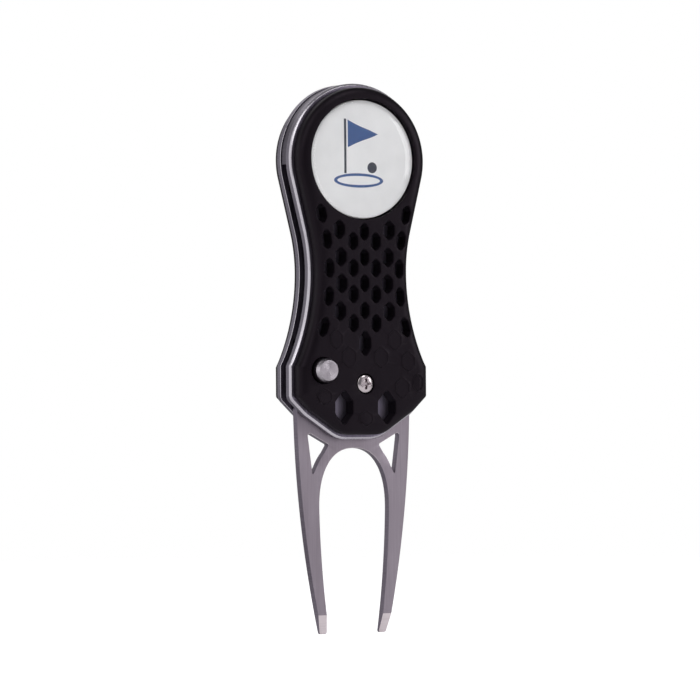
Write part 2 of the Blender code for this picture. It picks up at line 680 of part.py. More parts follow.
def build_marker(steel, print_white, resin, magnet_look):
    """A steel disc, a printed label and a clear dome, held by a magnet under the grip's pocket."""
    centre = (0.0, MARKER_Z)
    edge = 0.2 * MM
    turned("marker_disc", [
        (0.0, MARKER_BACK), (MARKER_RADIUS - edge, MARKER_BACK), (MARKER_RADIUS, MARKER_BACK + edge),
        (MARKER_RADIUS, MARKER_DISC_FACE), (0.0, MARKER_DISC_FACE),
    ], centre, steel, segments=48)
    label = MARKER_RADIUS - 0.15 * MM
    label_back, label_face = MARKER_DISC_FACE + 0.12 * MM, MARKER_DISC_FACE + 0.24 * MM
    turned("marker_label", [
        (0.0, label_back), (label, label_back), (label, label_face), (0.0, label_face),
    ], centre, print_white, segments=48)
    dome_back = label_face + 0.12 * MM
    rim = [(0.6, 5.53), (1.6, 5.76), (3.2, 5.86)]  # inwards from the label's edge, and the depth
    profile = [(0.0, dome_back), (label, dome_back), (label, dome_back + 0.1 * MM)]
    profile += [(label - inset * MM, depth * MM) for inset, depth in rim]
    profile += [(label - 6.0 * MM, MARKER_DOME_FACE), (0.0, MARKER_DOME_FACE)]
    turned("marker_dome", profile, centre, resin, segments=48)
    magnet_back, magnet_face = 2.05 * MM, MARKER_POCKET_FLOOR - 0.15 * MM
    cylinder("marker_magnet", MAGNET_RADIUS, magnet_back, magnet_face, centre, magnet_look)


def main():
    clear_scene()
    frame = bpy.data.objects.new("pivot_frame", None)
    frame.location = PIVOT
    bpy.context.scene.collection.objects.link(frame)

    plastic = material("black_plastic", (0.012, 0.010, 0.014), 0.45, 0.0)
    liner_steel = material("brushed_steel", (0.55, 0.52, 0.56), 0.32, 1.0)
    fork_steel = material("fork_steel", (0.40, 0.36, 0.41), 0.35, 1.0)
    bright_steel = material("bright_steel", (0.75, 0.74, 0.76), 0.25, 1.0)
    brass = material("nickel_brass", (0.70, 0.66, 0.58), 0.3, 1.0)
    bronze = material("bronze", (0.60, 0.40, 0.22), 0.35, 1.0)
    print_white = material("printed_white", (0.85, 0.85, 0.86), 0.4, 0.0)
    resin = material("clear_resin", (0.92, 0.93, 0.95), 0.05, 0.0)
    magnet_look = material("nickel_plate", (0.62, 0.62, 0.60), 0.25, 1.0)

    build_liners(liner_steel)
    build_front_grip(plastic)
    build_rear_grip(plastic)
    build_grip_screws(bright_steel)
    build_pins(bright_steel)
    build_head_spacer(liner_steel)
    build_fork(fork_steel)
    build_torsion_spring(bright_steel)
    build_pivot(bright_steel, brass, bronze)
    build_lock(bright_steel, bright_steel)
    build_marker(bright_steel, print_white, resin, magnet_look)


main()
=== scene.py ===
"""Looks of the folding divot repair tool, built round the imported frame.

Shapes are drawn with x and z from the fork's pivot and a depth that is positive towards the front.
Sizes are in metres.
"""

import json
from math import asin, atan2, cos, degrees, exp, hypot, pi, radians, sin, sqrt

import bmesh
import bpy
import numpy as np
from mathutils import Matrix, Vector
from mathutils.geometry import delaunay_2d_cdt


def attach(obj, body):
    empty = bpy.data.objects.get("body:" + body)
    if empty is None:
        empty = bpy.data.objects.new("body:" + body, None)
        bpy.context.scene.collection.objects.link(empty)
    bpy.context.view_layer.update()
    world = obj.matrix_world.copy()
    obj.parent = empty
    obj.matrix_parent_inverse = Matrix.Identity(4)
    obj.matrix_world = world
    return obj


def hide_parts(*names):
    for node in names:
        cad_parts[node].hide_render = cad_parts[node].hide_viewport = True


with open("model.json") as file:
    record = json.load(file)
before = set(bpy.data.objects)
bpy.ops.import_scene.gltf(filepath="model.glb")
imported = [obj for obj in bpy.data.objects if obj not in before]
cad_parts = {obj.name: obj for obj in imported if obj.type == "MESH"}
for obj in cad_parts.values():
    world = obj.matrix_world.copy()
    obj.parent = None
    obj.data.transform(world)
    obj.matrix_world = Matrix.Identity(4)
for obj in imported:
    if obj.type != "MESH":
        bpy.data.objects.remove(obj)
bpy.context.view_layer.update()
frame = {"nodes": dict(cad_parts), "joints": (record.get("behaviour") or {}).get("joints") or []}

MM = 0.001
PIVOT = Vector(next(j["pos_m"] for j in frame["joints"] if j["name"] == "fork_fold"))

# The layers, as depths from the middle of the fork; the rear ones mirror the front ones
FORK_FACE = 0.85 * MM
LINER_INNER = 1.15 * MM
LINER_OUTER = 2.85 * MM
GRIP_INNER = 3.05 * MM
SHOULDER_START = 4.4 * MM  # where the grips' rounded rims begin
GRIP_FACE = 5.95 * MM

# The handle
HEAD_RADIUS = 16.2 * MM
HEAD_Z = 47.1 * MM
WAIST_X = 11.8 * MM
WAIST_Z = 23.5 * MM
UPPER_WAIST_RADIUS = 34.0 * MM
LOWER_WAIST_RADIUS = 43.5 * MM
FLANK_X = 16.55 * MM
FLANK_TOP_Z = 3.9 * MM
FLANK_BOTTOM_Z = -3.1 * MM
HIP = (13.0 * MM, -6.45 * MM)
BASE = (5.0 * MM, -11.62 * MM)
FLANK_RADIUS = 1.8 * MM
HIP_RADIUS = 3.0 * MM
BASE_RADIUS = 7.0 * MM
GRIP_INSET = 0.95 * MM  # the liners show this far past the grips
SHOULDER_WIDTH = 2.5 * MM
OUTER_CHAMFER = 0.4 * MM

# Marker, pivot and lock
MARKER_RADIUS = 12.5 * MM
MARKER_Z = 47.2 * MM
MARKER_BACK = 3.95 * MM
MARKER_DISC_FACE = 4.7 * MM
MARKER_DOME_FACE = 5.9 * MM
MARKER_POCKET_FLOOR = 3.75 * MM
MAGNET_POCKET_FLOOR = 1.85 * MM
MAGNET_RADIUS = 4.0 * MM
SLEEVE_RADIUS = 2.5 * MM
SPRING_POCKET_RADIUS = 5.6 * MM
SPRING_POCKET_FLOOR = 4.0 * MM
SPRING_LEG = (4.6 * MM * cos(radians(20.0)), 4.6 * MM * sin(radians(20.0)))
TANG_RADIUS = 8.8 * MM
BUTTON = (-10.25 * MM, 2.78 * MM)
BUTTON_RADIUS = 2.55 * MM
BUTTON_TOP_RADIUS = 2.12 * MM
BUTTON_TAPER = 1.1 * MM  # how far the cap's taper reaches down its side
BUTTON_FACE = 8.4 * MM
BUTTON_TRAVEL = 1.6 * MM
STEM_RADIUS = 1.3 * MM
COLLAR_RADIUS = 2.7 * MM
WASHER_HOLE_RADIUS = 6.2 * MM
RING_HOLE_RADIUS = 7.3 * MM
GAP = 0.3 * MM
RIM = 0.2 * MM  # the rounding of the grips' holes
CELL_RIM = 0.22 * MM

# Fork
SHOULDER_Z = -6.5 * MM
SHOULDER_X = 13.85 * MM
EAR_Z = -4.7 * MM
EAR_INNER_X = 12.7 * MM
ARCH_TOP_Z = -13.45 * MM
ARCH_SIDE = (8.5 * MM, -26.0 * MM)
TIP_Z = -52.45 * MM
TIP_OUTER_X = 8.2 * MM
TIP_INNER_X = 6.35 * MM
TIP_GRIND = 4.0 * MM

# Pins, as x, z and the radius between the liners, and screws
SPIGOT_RADIUS = 0.7 * MM
SPIGOT_END = 2.75 * MM
PINS = {
    "head_pin_left": (-12.6 * MM, 53.6 * MM, SPIGOT_RADIUS),
    "head_pin_right": (12.6 * MM, 53.6 * MM, SPIGOT_RADIUS),
    "open_stop_pin": (-13.0 * MM, -3.4 * MM, 1.0 * MM),
    "closed_stop_pin": (-11.2 * MM, 44.6 * MM, 1.0 * MM),
}
RIGHT_SCREWS = [(12.6 * MM, 41.2 * MM), (11.9 * MM, 8.3 * MM)]
GRIP_SCREWS = [(side * x, z) for side in (-1, 1) for x, z in RIGHT_SCREWS]

# The honeycomb's right half: (x, z, width, height, lean in degrees) in millimetres
MIDDLE_CELLS = [(0.0, z, 2.2, 4.1, 0) for z in (31.9, 26.5, 21.1, 15.4)]
INNER_CELLS = [(2.75, z, 2.4, 4.25, 0) for z in (29.9, 24.3, 18.8, 12.7)]
OUTER_PLACES = ((6.1, 32.3), (5.75, 26.6), (5.6, 21.0), (6.0, 15.2))
OUTER_CELLS = [(x, z, 2.7, 4.45, 0) for x, z in OUTER_PLACES]
EDGE_CELLS = [
    (10.3, 35.6, 2.2, 4.7, -14),
    (9.05, 30.2, 2.2, 4.8, -8),
    (8.5, 24.2, 2.2, 4.8, -2),
    (8.7, 18.3, 2.2, 4.8, 6),
    (9.95, 11.9, 2.2, 5.0, 17),
]
HONEYCOMB = MIDDLE_CELLS + INNER_CELLS + OUTER_CELLS + EDGE_CELLS
# The larger cells round the pivot, with their corners' radius and the straight share of their height
FOOT_CELLS = [(0.0, 8.5, 2.9, 6.1, 0), (5.2, -4.95, 4.3, 7.6, 0)]
FOOT_CELL_SHAPE = (0.6 * MM, 0.33)
# Shallow cells pressed into the foot, where the button and pivot leave room
PRESSED_CELLS = [
    (-3.95, 5.5, 3.2, 4.7, 0),
    (3.85, 5.5, 3.2, 4.7, 0),
    (-7.0, 9.3, 2.8, 4.4, 0),
    (7.2, 9.2, 3.1, 4.6, 0),
    (10.5, 4.7, 3.1, 4.6, 0),
    (9.0, -0.9, 3.3, 4.8, 0),
    (-10.0, -2.75, 3.4, 3.6, 0),
    (0.0, -7.3, 3.2, 3.5, 0),
    (12.9, 0.2, 2.4, 4.2, 0),
]

# How much a texture's detail is packed along each axis; strokes run along the axis with the small share
EVENLY = (1, 1, 1)
ALONG_X = (0.02, 1, 1)
ALONG_Y = (1, 0.02, 1)
ALONG_Z = (1, 1, 0.02)

# Brushed metals: dark and light colour, least and greatest roughness, strokes and a coarser scale
BRUSHED_METALS = {
    "liner_steel_brushed": ((0.16, 0.14, 0.19), (0.30, 0.27, 0.34), 0.34, 0.46, ALONG_Z),
    # The liners' chamfer gets a much lighter copy of the liner steel: a painted highlight
    "liner_steel_chamfer_painted_highlight": ((0.52, 0.49, 0.54), (0.68, 0.65, 0.70), 0.24, 0.36, ALONG_Z),
    "liner_steel_side": ((0.17, 0.155, 0.19), (0.27, 0.245, 0.29), 0.34, 0.46, ALONG_Y),
    "fork_steel_brushed": ((0.285, 0.248, 0.285), (0.385, 0.34, 0.39), 0.36, 0.50, ALONG_Z),
    "fork_steel_side": ((0.16, 0.135, 0.17), (0.26, 0.23, 0.28), 0.34, 0.46, ALONG_Y),
    "fork_steel_ground": ((0.70, 0.62, 0.65), (0.86, 0.78, 0.81), 0.30, 0.42, ALONG_X),
    # The head spacer's steel is darkened: painted shade for the gap between the liners
    "spacer_steel_painted_shade": ((0.085, 0.075, 0.095), (0.16, 0.145, 0.175), 0.34, 0.46, ALONG_Y),
    "spring_steel_drawn": ((0.32, 0.31, 0.33), (0.45, 0.44, 0.46), 0.25, 0.35, EVENLY, 2500.0),
    "magnet_nickel_plated": ((0.50, 0.49, 0.47), (0.60, 0.59, 0.57), 0.18, 0.28, EVENLY, 1500.0),
}
# Turned metals: colour, the rings' centre, roughness and streak
TURNED_METALS = {
    "bright_steel_turned": ((0.58, 0.52, 0.54), (0.0, 0.0), 0.2),
    "button_steel_turned": ((0.50, 0.465, 0.505), BUTTON, 0.34, 0.85),
    "marker_steel_turned": ((0.55, 0.54, 0.53), (0.0, MARKER_Z), 0.3),
    "nickel_brass_turned": ((0.52, 0.49, 0.42), (0.0, 0.0), 0.3),
    "bronze_turned": ((0.42, 0.26, 0.12), (0.0, 0.0), 0.35),
}
# The CAD nodes that stay in view, by look
GRIP_SCREW_NODES = [
    f"{end}_grip_screw_{part}_{side}"
    for end in ("front", "rear") for part in ("head", "foot") for side in ("left", "right")
]
DRESSED_NODES = {
    "spring_steel_drawn": ["torsion_spring", "plunger_spring"],
    "nickel_brass_turned": ["pivot_sleeve"],
    "bright_steel_turned": ["lock_plunger", *GRIP_SCREW_NODES],
    # The head spacer gets the darkened steel, which is painted shade between the liners
    "spacer_steel_painted_shade": ["head_spacer"],
    "bronze_turned": ["front_washer", "rear_thrust_ring"],
    "magnet_nickel_plated": ["marker_magnet"],
}

# Softboxes: azimuth, elevation, distance, width and height, power and a colour that isn't white
SOFTBOXES = {
    "key_left": (-70, 10, 0.60, (0.55, 0.70), 0.85),
    "front_left": (-40, 40, 0.60, (0.34, 0.36), 0.62),
    "fill_right": (32, 4, 0.75, (0.60, 0.80), 0.72, (1.0, 0.96, 1.0)),
    "high_front": (22, 52, 0.60, (0.16, 0.16), 0.5),
    "rim_right": (56, 13, 0.60, (0.16, 0.24), 0.5),
    "side_left": (-108, 5, 0.60, (0.25, 0.50), 0.5),
    "back_left": (-150, 5, 0.70, (0.60, 0.60), 0.55),
    "back_right": (140, 30, 0.60, (0.30, 0.40), 0.5),
    "back_high": (-178, 48, 0.70, (0.40, 0.50), 0.6),
}

# The camera that matches the photograph
CAMERA_YAW = 30.784  # degrees that it stands to the left of the front
CAMERA_PITCH = 1.09  # degrees upwards
CAMERA_ROLL = -0.443
CAMERA_DISTANCE = 0.868586
CAMERA_LENS = 211.776
LOOK_AT = (-0.251 * MM, 0.0, 7.213 * MM)  # x, depth and z from the pivot

# Sockets of the mix nodes, which are reached by number
FLOAT_A, FLOAT_B = 2, 3
COLOUR_A, COLOUR_B, COLOUR_OUT = 6, 7, 2


# Materials


def new_material(name, colour, roughness, metallic=0.0, **more):
    made = bpy.data.materials.new(name)
    made.use_nodes = True
    shader = made.node_tree.nodes["Principled BSDF"]
    shader.inputs["Base Color"].default_value = (*colour, 1.0)
    shader.inputs["Roughness"].default_value = roughness
    shader.inputs["Metallic"].default_value = metallic
    for key, value in more.items():
        shader.inputs[key.replace("_", " ")].default_value = value
    return made


def join(source, target):
    """Links an output socket to an input socket of the same tree."""
    source.id_data.links.new(source, target)


def add(tree, kind, **values):
    """A new node; values set its sockets and, for other names, its own settings."""
    node = tree.nodes.new(kind)
    for key, value in values.items():
        if key in node.inputs:
            node.inputs[key].default_value = value
        else:
            setattr(node, key, value)
    return node


def stretched_noise(tree, scale, stretch, detail):
    """Noise in object space, stretched by a factor along each axis."""
    place = add(tree, "ShaderNodeTexCoord")
    mapping = add(tree, "ShaderNodeMapping")
    mapping.inputs["Scale"].default_value = stretch
    noise = add(tree, "ShaderNodeTexNoise", Scale=scale, Detail=detail)
    join(place.outputs["Object"], mapping.inputs["Vector"])
    join(mapping.outputs["Vector"], noise.inputs["Vector"])
    return noise.outputs["Fac"]


def map_range(tree, source, low, high, start=0.3, end=0.7, **more):
    """Maps the range from start to end onto low to high."""
    node = add(tree, "ShaderNodeMapRange", **more)
    for key, value in (("From Min", start), ("From Max", end), ("To Min", low), ("To Max", high)):
        node.inputs[key].default_value = value
    join(source, node.inputs["Value"])
    return node.outputs["Result"]


def vary_roughness(tree, source, low, high, *span):
    rough = map_range(tree, source, low, high, *span)
    join(rough, tree.nodes["Principled BSDF"].inputs["Roughness"])


def vary_colour(tree, source, dark, light, start=0.3, end=0.7):
    """Blends the base colour from dark to light while the source goes from start to end."""
    mix = add(tree, "ShaderNodeMix", data_type="RGBA")
    mix.inputs[COLOUR_A].default_value = (*dark, 1.0)
    mix.inputs[COLOUR_B].default_value = (*light, 1.0)
    join(map_range(tree, source, 0.0, 1.0, start, end), mix.inputs[0])
    join(mix.outputs[COLOUR_OUT], tree.nodes["Principled BSDF"].inputs["Base Color"])


def bump(tree, source, strength, distance, before=None):
    node = add(tree, "ShaderNodeBump", Strength=strength, Distance=distance)
    join(source, node.inputs["Height"])
    if before:
        join(before.outputs["Normal"], node.inputs["Normal"])
    join(node.outputs["Normal"], tree.nodes["Principled BSDF"].inputs["Normal"])
    return node


def satin_plastic(name):
    """Moulded black plastic with a fine spark-eroded grain and faint handling marks."""
    sheen = {"Specular_IOR_Level": 0.16, "Specular_Tint": (1.0, 0.80, 1.0, 1.0)}
    made = new_material(name, (0.0042, 0.0030, 0.0046), 0.42, **sheen)
    tree = made.node_tree
    grain = stretched_noise(tree, 5200.0, EVENLY, 2.0)
    cloud = stretched_noise(tree, 130.0, (1, 1, 0.6), 4.0)
    fine = bump(tree, grain, 0.22, 0.02 * MM)
    bump(tree, cloud, 0.10, 0.05 * MM, fine)
    vary_roughness(tree, cloud, 0.36, 0.50)
    vary_colour(tree, cloud, (0.0032, 0.0022, 0.0036), (0.0052, 0.0038, 0.0056))
    return made


def brushed_metal(name, dark, light, rough_low, rough_high, stretch, scale=4200.0):
    """Brushed metal, darker and lighter along its strokes and in soft patches."""
    stroke_share = 0.45
    made = new_material(name, light, rough_high, 1.0)
    tree = made.node_tree
    strokes = stretched_noise(tree, scale, stretch, 4.0)
    patches = stretched_noise(tree, 90.0, (1, 1, 0.35), 3.0)
    bump(tree, strokes, 0.35, 0.006 * MM)
    vary_roughness(tree, strokes, rough_low, rough_high)
    both = add(tree, "ShaderNodeMath", operation="MULTIPLY_ADD")
    both.inputs[1].default_value = stroke_share
    join(strokes, both.inputs[0])
    rest = add(tree, "ShaderNodeMath", operation="MULTIPLY")
    rest.inputs[1].default_value = 1 - stroke_share
    join(patches, rest.inputs[0])
    join(rest.outputs["Value"], both.inputs[2])
    vary_colour(tree, both.outputs["Value"], dark, light, 0.35, 0.65)
    return made


def turned_metal(name, colour, centre, roughness, streak=0.0):
    """Metal with lathe rings round an axis along Y through centre, given as (x, z) from the pivot.

    streak is how far its gloss is drawn out across the rings, for a face that fills its own piece.
    """
    made = new_material(name, colour, roughness, 1.0, Anisotropic=streak)
    tree = made.node_tree
    place = add(tree, "ShaderNodeTexCoord")
    shift = add(tree, "ShaderNodeMapping")
    shift.inputs["Location"].default_value = (-centre[0] - PIVOT.x, 0.0, -centre[1] - PIVOT.z)
    lathe = {"wave_type": "RINGS", "rings_direction": "Y", "Scale": 1500.0}
    rings = add(tree, "ShaderNodeTexWave", Distortion=0.6, Detail=2.0, **lathe)
    join(place.outputs["Object"], shift.inputs["Vector"])
    join(shift.outputs["Vector"], rings.inputs["Vector"])
    bump(tree, rings.outputs["Fac"], 0.35, 0.01 * MM)
    vary_roughness(tree, rings.outputs["Fac"], roughness * 0.8, roughness * 1.3, 0.0, 1.0)
    if streak:
        tangent = add(tree, "ShaderNodeTangent", direction_type="RADIAL", axis="Y")
        join(tangent.outputs[0], tree.nodes["Principled BSDF"].inputs["Tangent"])
    return made


def printed_white(name):
    """Pearly printed film: a faint cloud in its tone and a fine dot grain."""
    made = new_material(name, (0.79, 0.795, 0.80), 0.32)
    tree = made.node_tree
    cloud = stretched_noise(tree, 160.0, EVENLY, 3.0)
    grain = stretched_noise(tree, 6500.0, EVENLY, 1.0)
    vary_colour(tree, cloud, (0.77, 0.775, 0.78), (0.85, 0.855, 0.86))
    bump(tree, grain, 0.08, 0.01 * MM)
    return made


def ink(name, colour):
    """Printing ink with a fine grain in its tone."""
    made = new_material(name, colour, 0.38)
    tree = made.node_tree
    grain = stretched_noise(tree, 2500.0, EVENLY, 2.0)
    vary_colour(tree, grain, tuple(0.8 * c for c in colour), colour)
    return made


def clear_resin(name):
    """Cast resin over the print: clear, glossy and very slightly wavy."""
    made = new_material(name, (1.0, 1.0, 1.0), 0.10, Transmission_Weight=1.0, IOR=1.40)
    tree = made.node_tree
    wave = stretched_noise(tree, 220.0, EVENLY, 2.0)
    bump(tree, wave, 0.12, 0.03 * MM)
    return made


# Mesh tools

SHARP_ANGLE = 35.0  # degrees between faces that makes an edge sharp


def world_point(x, depth, z):
    """The place in the world for an x, depth and z from the pivot."""
    return Vector((PIVOT.x + x, PIVOT.y - depth, PIVOT.z + z))


def thing_from(made, name, materials):
    """Turns a bmesh into an object in the scene."""
    mesh = bpy.data.meshes.new(name)
    made.to_mesh(mesh)
    made.free()
    for look in materials:
        mesh.materials.append(look)
    thing = bpy.data.objects.new(name, mesh)
    bpy.context.scene.collection.objects.link(thing)
    return thing


def piece_from(mesh_data, name, body, materials, replaces):
    """Turns a bmesh into a piece that rides on a body and stands for CAD nodes."""
    bmesh.ops.recalc_face_normals(mesh_data, faces=mesh_data.faces)
    made = thing_from(mesh_data, name, materials)
    made.data.shade_smooth()
    made.data.set_sharp_from_angle(angle=radians(SHARP_ANGLE))
    modifier = made.modifiers.new("weighted", "WEIGHTED_NORMAL")
    modifier.keep_sharp = True
    modifier.weight = 80
    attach(made, body)
    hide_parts(*replaces)
    return made


def inside(points, loop):
    """Which of an array of points lie inside a closed loop."""
    x, z = points[:, 0], points[:, 1]
    ring = np.asarray(loop)
    x0, z0 = ring[:, 0], ring[:, 1]
    x1, z1 = np.roll(x0, -1), np.roll(z0, -1)
    found = np.zeros(len(points), bool)
    for ax, az, bx, bz in zip(x0, z0, x1, z1):
        if az == bz:
            continue
        crosses = (az > z) != (bz > z)
        found ^= crosses & (x < (bx - ax) * (z - az) / (bz - az) + ax)
    return found


def distance_to(points, loop):
    """Each point's distance to a closed loop."""
    ring = np.asarray(loop)
    nearest = np.full(len(points), 1e9)
    for a, b in zip(ring, np.roll(ring, -1, axis=0)):
        along = b - a
        length = along @ along
        if length == 0:
            continue
        t = np.clip(((points - a) @ along) / length, 0, 1)
        nearest = np.minimum(nearest, np.linalg.norm(points - (a + t[:, None] * along), axis=1))
    return nearest


def fill(made, outer, holes, marks, free, at):
    """Triangulates the region inside outer and outside the holes, and returns each loop's vertices.

    Marks are loops that lie on the surface as creases, and free points lie on it one by one.
    at(points, loop numbers) gives the points as (x, depth, z); a free point's number is None.
    """
    smallest = 1e-8
    loops = [outer, *holes, *marks]
    flat, edges, starts = [], [], []
    for loop in loops:
        start = len(flat)
        starts.append(start)
        flat += [Vector(p) for p in loop]
        edges += [(start + i, start + (i + 1) % len(loop)) for i in range(len(loop))]
    first_free = len(flat)
    flat += [Vector(p) for p in free]
    points, _, faces, origins, _, _ = delaunay_2d_cdt(flat, edges, [], 0, smallest)
    spots = np.array([tuple(p) for p in points])
    centres = np.array([spots[list(face)].mean(axis=0) for face in faces])
    keep = inside(centres, outer)
    for hole in holes:
        keep &= ~inside(centres, hole)
    owner = {}
    for index, sources in enumerate(origins):
        for source in sources:
            owner[source] = index
    label = [None] * len(points)
    for number, (loop, start) in enumerate(zip(loops, starts)):
        for i in range(len(loop)):
            label[owner[start + i]] = number
    verts = [None] * len(points)
    used = {i for face, kept in zip(faces, keep) if kept for i in face}
    used = sorted(used | {owner[i] for i in range(first_free)})
    spatial = at(spots[used], [label[i] for i in used])
    for i, place in zip(used, spatial):
        verts[i] = made.verts.new(world_point(*place))
    for face, kept in zip(faces, keep):
        if kept:
            made.faces.new([verts[i] for i in face])
    return [[verts[owner[start + i]] for i in range(len(loop))] for loop, start in zip(loops, starts)]


def plate(side, outer, edge, front, back, rear=(), height=None, marks=(), free=()):
    """A plate with holes as a bmesh; side is 1 if its face looks to the front and -1 if it looks back.

    A loop function gives its loop moved or widened by e, and outer is the outline's.
    A ring is (e, depth), or (e, None, drop) to follow the face at that drop.
    edge holds the outline's rings from the face to the back.
    front features are (loop function, rings, goes through), and their first ring lies on the face.
    rear features are (loop function, rings), and their first ring lies on the back.
    height(points) gives the face's depth where it isn't flat, and marks are (loop, drop) creases on it.
    """
    made = bmesh.new()
    height = height or (lambda points: np.full(len(points), edge[0][1]))

    def on_face(points, labels):
        depths = height(points)
        for i, number in enumerate(labels):
            if number is not None and number > len(front):
                depths[i] -= marks[number - 1 - len(front)][1]
        return [(p[0], side * d, p[1]) for p, d in zip(points, depths)]

    def follow(shape, rings, last, start):
        for e, depth, *drop in rings:
            levels = start - drop[0] if drop else [depth] * len(last)
            places = [world_point(x, side * d, z) for (x, z), d in zip(shape(e), levels)]
            following = [made.verts.new(place) for place in places]
            for i in range(len(last)):
                j = (i + 1) % len(last)
                made.faces.new((last[i], last[j], following[j], following[i]))
            last = following
        return last

    tops = [shape(rings[0][0]) for shape, rings, _ in front]
    rim = outer(edge[0][0])
    loops = fill(made, rim, tops, [loop for loop, _ in marks], free, on_face)
    bottoms = [follow(outer, edge[1:], loops[0], height(np.asarray(rim)))]
    bottom_shapes = [outer(edge[-1][0])]
    for (shape, rings, through), top, loop in zip(front, tops, loops[1:]):
        last = follow(shape, rings[1:], loop, height(np.asarray(top)))
        if through:
            bottoms.append(last)
            bottom_shapes.append(shape(rings[-1][0]))
        else:
            made.faces.new(last)
    for shape, rings in rear:
        first = shape(rings[0][0])
        last = [made.verts.new(world_point(x, side * back, z)) for x, z in first]
        bottoms.append(last)
        bottom_shapes.append(first)
        made.faces.new(follow(shape, rings[1:], last, None))

    def on_back(points, _):
        return [(x, side * back, z) for x, z in points]

    under = fill(made, bottom_shapes[0], bottom_shapes[1:], [], [], on_back)
    pairs = dict(zip([v for loop in under for v in loop], [v for loop in bottoms for v in loop]))
    bmesh.ops.weld_verts(made, targetmap=pairs)
    return made


def ellipse(x, z, across, up, steps=40):
    turns = [2 * pi * i / steps for i in range(steps)]
    return [(x + across * cos(t), z + up * sin(t)) for t in turns]


def circle(centre, radius, segments=48):
    """A round hole as a loop function: its radius grows by e."""
    return lambda e: ellipse(*centre, radius + e, radius + e, segments)


def moved_corner(before, here, after, e, bluntest=0.0):
    """A corner of an anticlockwise outline, moved so that both its sides move outwards by e."""
    side = Vector((here[0] - before[0], here[1] - before[1])).normalized()
    following = Vector((after[0] - here[0], after[1] - here[1])).normalized()
    out = Vector((side.y + following.y, -side.x - following.x)).normalized()
    return Vector(here) + out * (e / max(out.dot(Vector((side.y, -side.x))), bluntest))


def filleted(corners, e, steps=6, least=0.03 * MM):
    """An anticlockwise polygon moved outwards by e.

    Each corner is (x, z, radius), and a radius of 0 stays a point. No rounding gets smaller than least.
    """
    count = len(corners)
    moved = [
        (moved_corner(corners[i - 1], corners[i][:2], corners[(i + 1) % count], e), corners[i][2])
        for i in range(count)
    ]
    points = []
    for i, (corner, radius) in enumerate(moved):
        if radius == 0:
            points.append(tuple(corner))
            continue
        size = max(radius + e, least)
        back = (moved[i - 1][0] - corner).normalized()
        on = (moved[(i + 1) % count][0] - corner).normalized()
        half_angle = back.angle(on) / 2
        centre = corner + (back + on).normalized() * (size / sin(half_angle))
        run = size * cos(half_angle) / sin(half_angle)
        for k in range(steps + 1):
            first, last = corner + back * run - centre, corner + on * run - centre
            spoke = first.lerp(last, k / steps).normalized()
            points.append(tuple(centre + spoke * size))
    return points


def round_over(radius, steps=3):
    """Rings of an outer edge's rounding, which follow the face."""
    rings = []
    for k in range(steps + 1):
        turn = pi / 2 * k / steps
        rings.append((radius * (sin(turn) - 1), None, radius * (1 - cos(turn))))
    return rings


# Outlines


def arc(centre, radius, start, end, steps):
    """Points along an arc from one angle to another, in degrees."""
    turns = [radians(start + (end - start) * i / steps) for i in range(steps + 1)]
    return [(centre[0] + radius * cos(t), centre[1] + radius * sin(t)) for t in turns]


def handle_half():
    """The handle's right half from the top of the head down, as (x, z, corner radius)."""
    upper_centre = (WAIST_X + UPPER_WAIST_RADIUS, WAIST_Z)
    lower_centre = (WAIST_X + LOWER_WAIST_RADIUS, WAIST_Z)
    across, up = upper_centre[0], upper_centre[1] - HEAD_Z
    reach = HEAD_RADIUS + UPPER_WAIST_RADIUS
    touch = degrees(atan2(up, across) + pi / 2 - atan2(reach, sqrt(across**2 + up**2 - reach**2)))
    lower_end = 180 + degrees(asin((WAIST_Z - FLANK_TOP_Z) / LOWER_WAIST_RADIUS))
    smooth = arc((0.0, HEAD_Z), HEAD_RADIUS, 90, touch, steps=46)
    smooth += arc(upper_centre, UPPER_WAIST_RADIUS, 180 + touch, 180, steps=12)
    smooth += arc(lower_centre, LOWER_WAIST_RADIUS, 180, lower_end, steps=14)[1:-1]
    corners = [(FLANK_X, z, FLANK_RADIUS) for z in (FLANK_TOP_Z, FLANK_BOTTOM_Z)]
    corners += [(*HIP, HIP_RADIUS), (*BASE, BASE_RADIUS)]
    return [(x, z, 0.0) for x, z in smooth] + corners


def handle_outline(e):
    """The liners' outline, anticlockwise, moved outwards by e."""
    half = handle_half()
    whole = half + [(-x, z, r) for x, z, r in reversed(half) if x > 1e-9]
    whole.reverse()
    return filleted(whole, e, least=0.5 * MM)


def cell_loop(cell, radius=0.6 * MM, flat=0.42):
    """A long hexagon as a loop function; flat is the straight share of its height."""
    x, z, width, height, lean = cell
    a, b = width * MM / 2, height * MM / 2
    side = b * flat
    c, s = cos(radians(lean)), sin(radians(lean))
    upright = [(0, b), (-a, side), (-a, -side), (0, -b), (a, -side), (a, side)]
    corners = [(x * MM + c * p - s * q, z * MM + s * p + c * q, radius) for p, q in upright]
    return lambda e: filleted(corners, e, steps=4)


def both_sides(cells):
    """The right half's cells and their mirror images."""
    mirrored = [(-x, z, width, height, -lean) for x, z, width, height, lean in cells if x > 0]
    return cells + mirrored


# Camera, world, lights and floor


def build_camera():
    """The photograph's view, nearly level, from in front and the left."""
    yaw, pitch, roll = radians(CAMERA_YAW), radians(CAMERA_PITCH), radians(CAMERA_ROLL)
    ahead = Vector((sin(yaw) * cos(pitch), cos(yaw) * cos(pitch), sin(pitch)))
    right = Vector((cos(yaw), -sin(yaw), 0.0))
    up = right.cross(ahead)
    right, up = right * cos(roll) + up * sin(roll), up * cos(roll) - right * sin(roll)
    data = bpy.data.cameras.new("camera")
    data.lens = CAMERA_LENS
    data.sensor_width = 36.0
    data.clip_start = 0.05
    data.clip_end = 20.0
    camera = bpy.data.objects.new("camera", data)
    place = world_point(*LOOK_AT) - ahead * CAMERA_DISTANCE
    turned = Matrix((right, up, -ahead)).transposed().to_4x4()
    camera.matrix_world = Matrix.Translation(place) @ turned
    bpy.context.scene.collection.objects.link(camera)
    bpy.context.scene.camera = camera


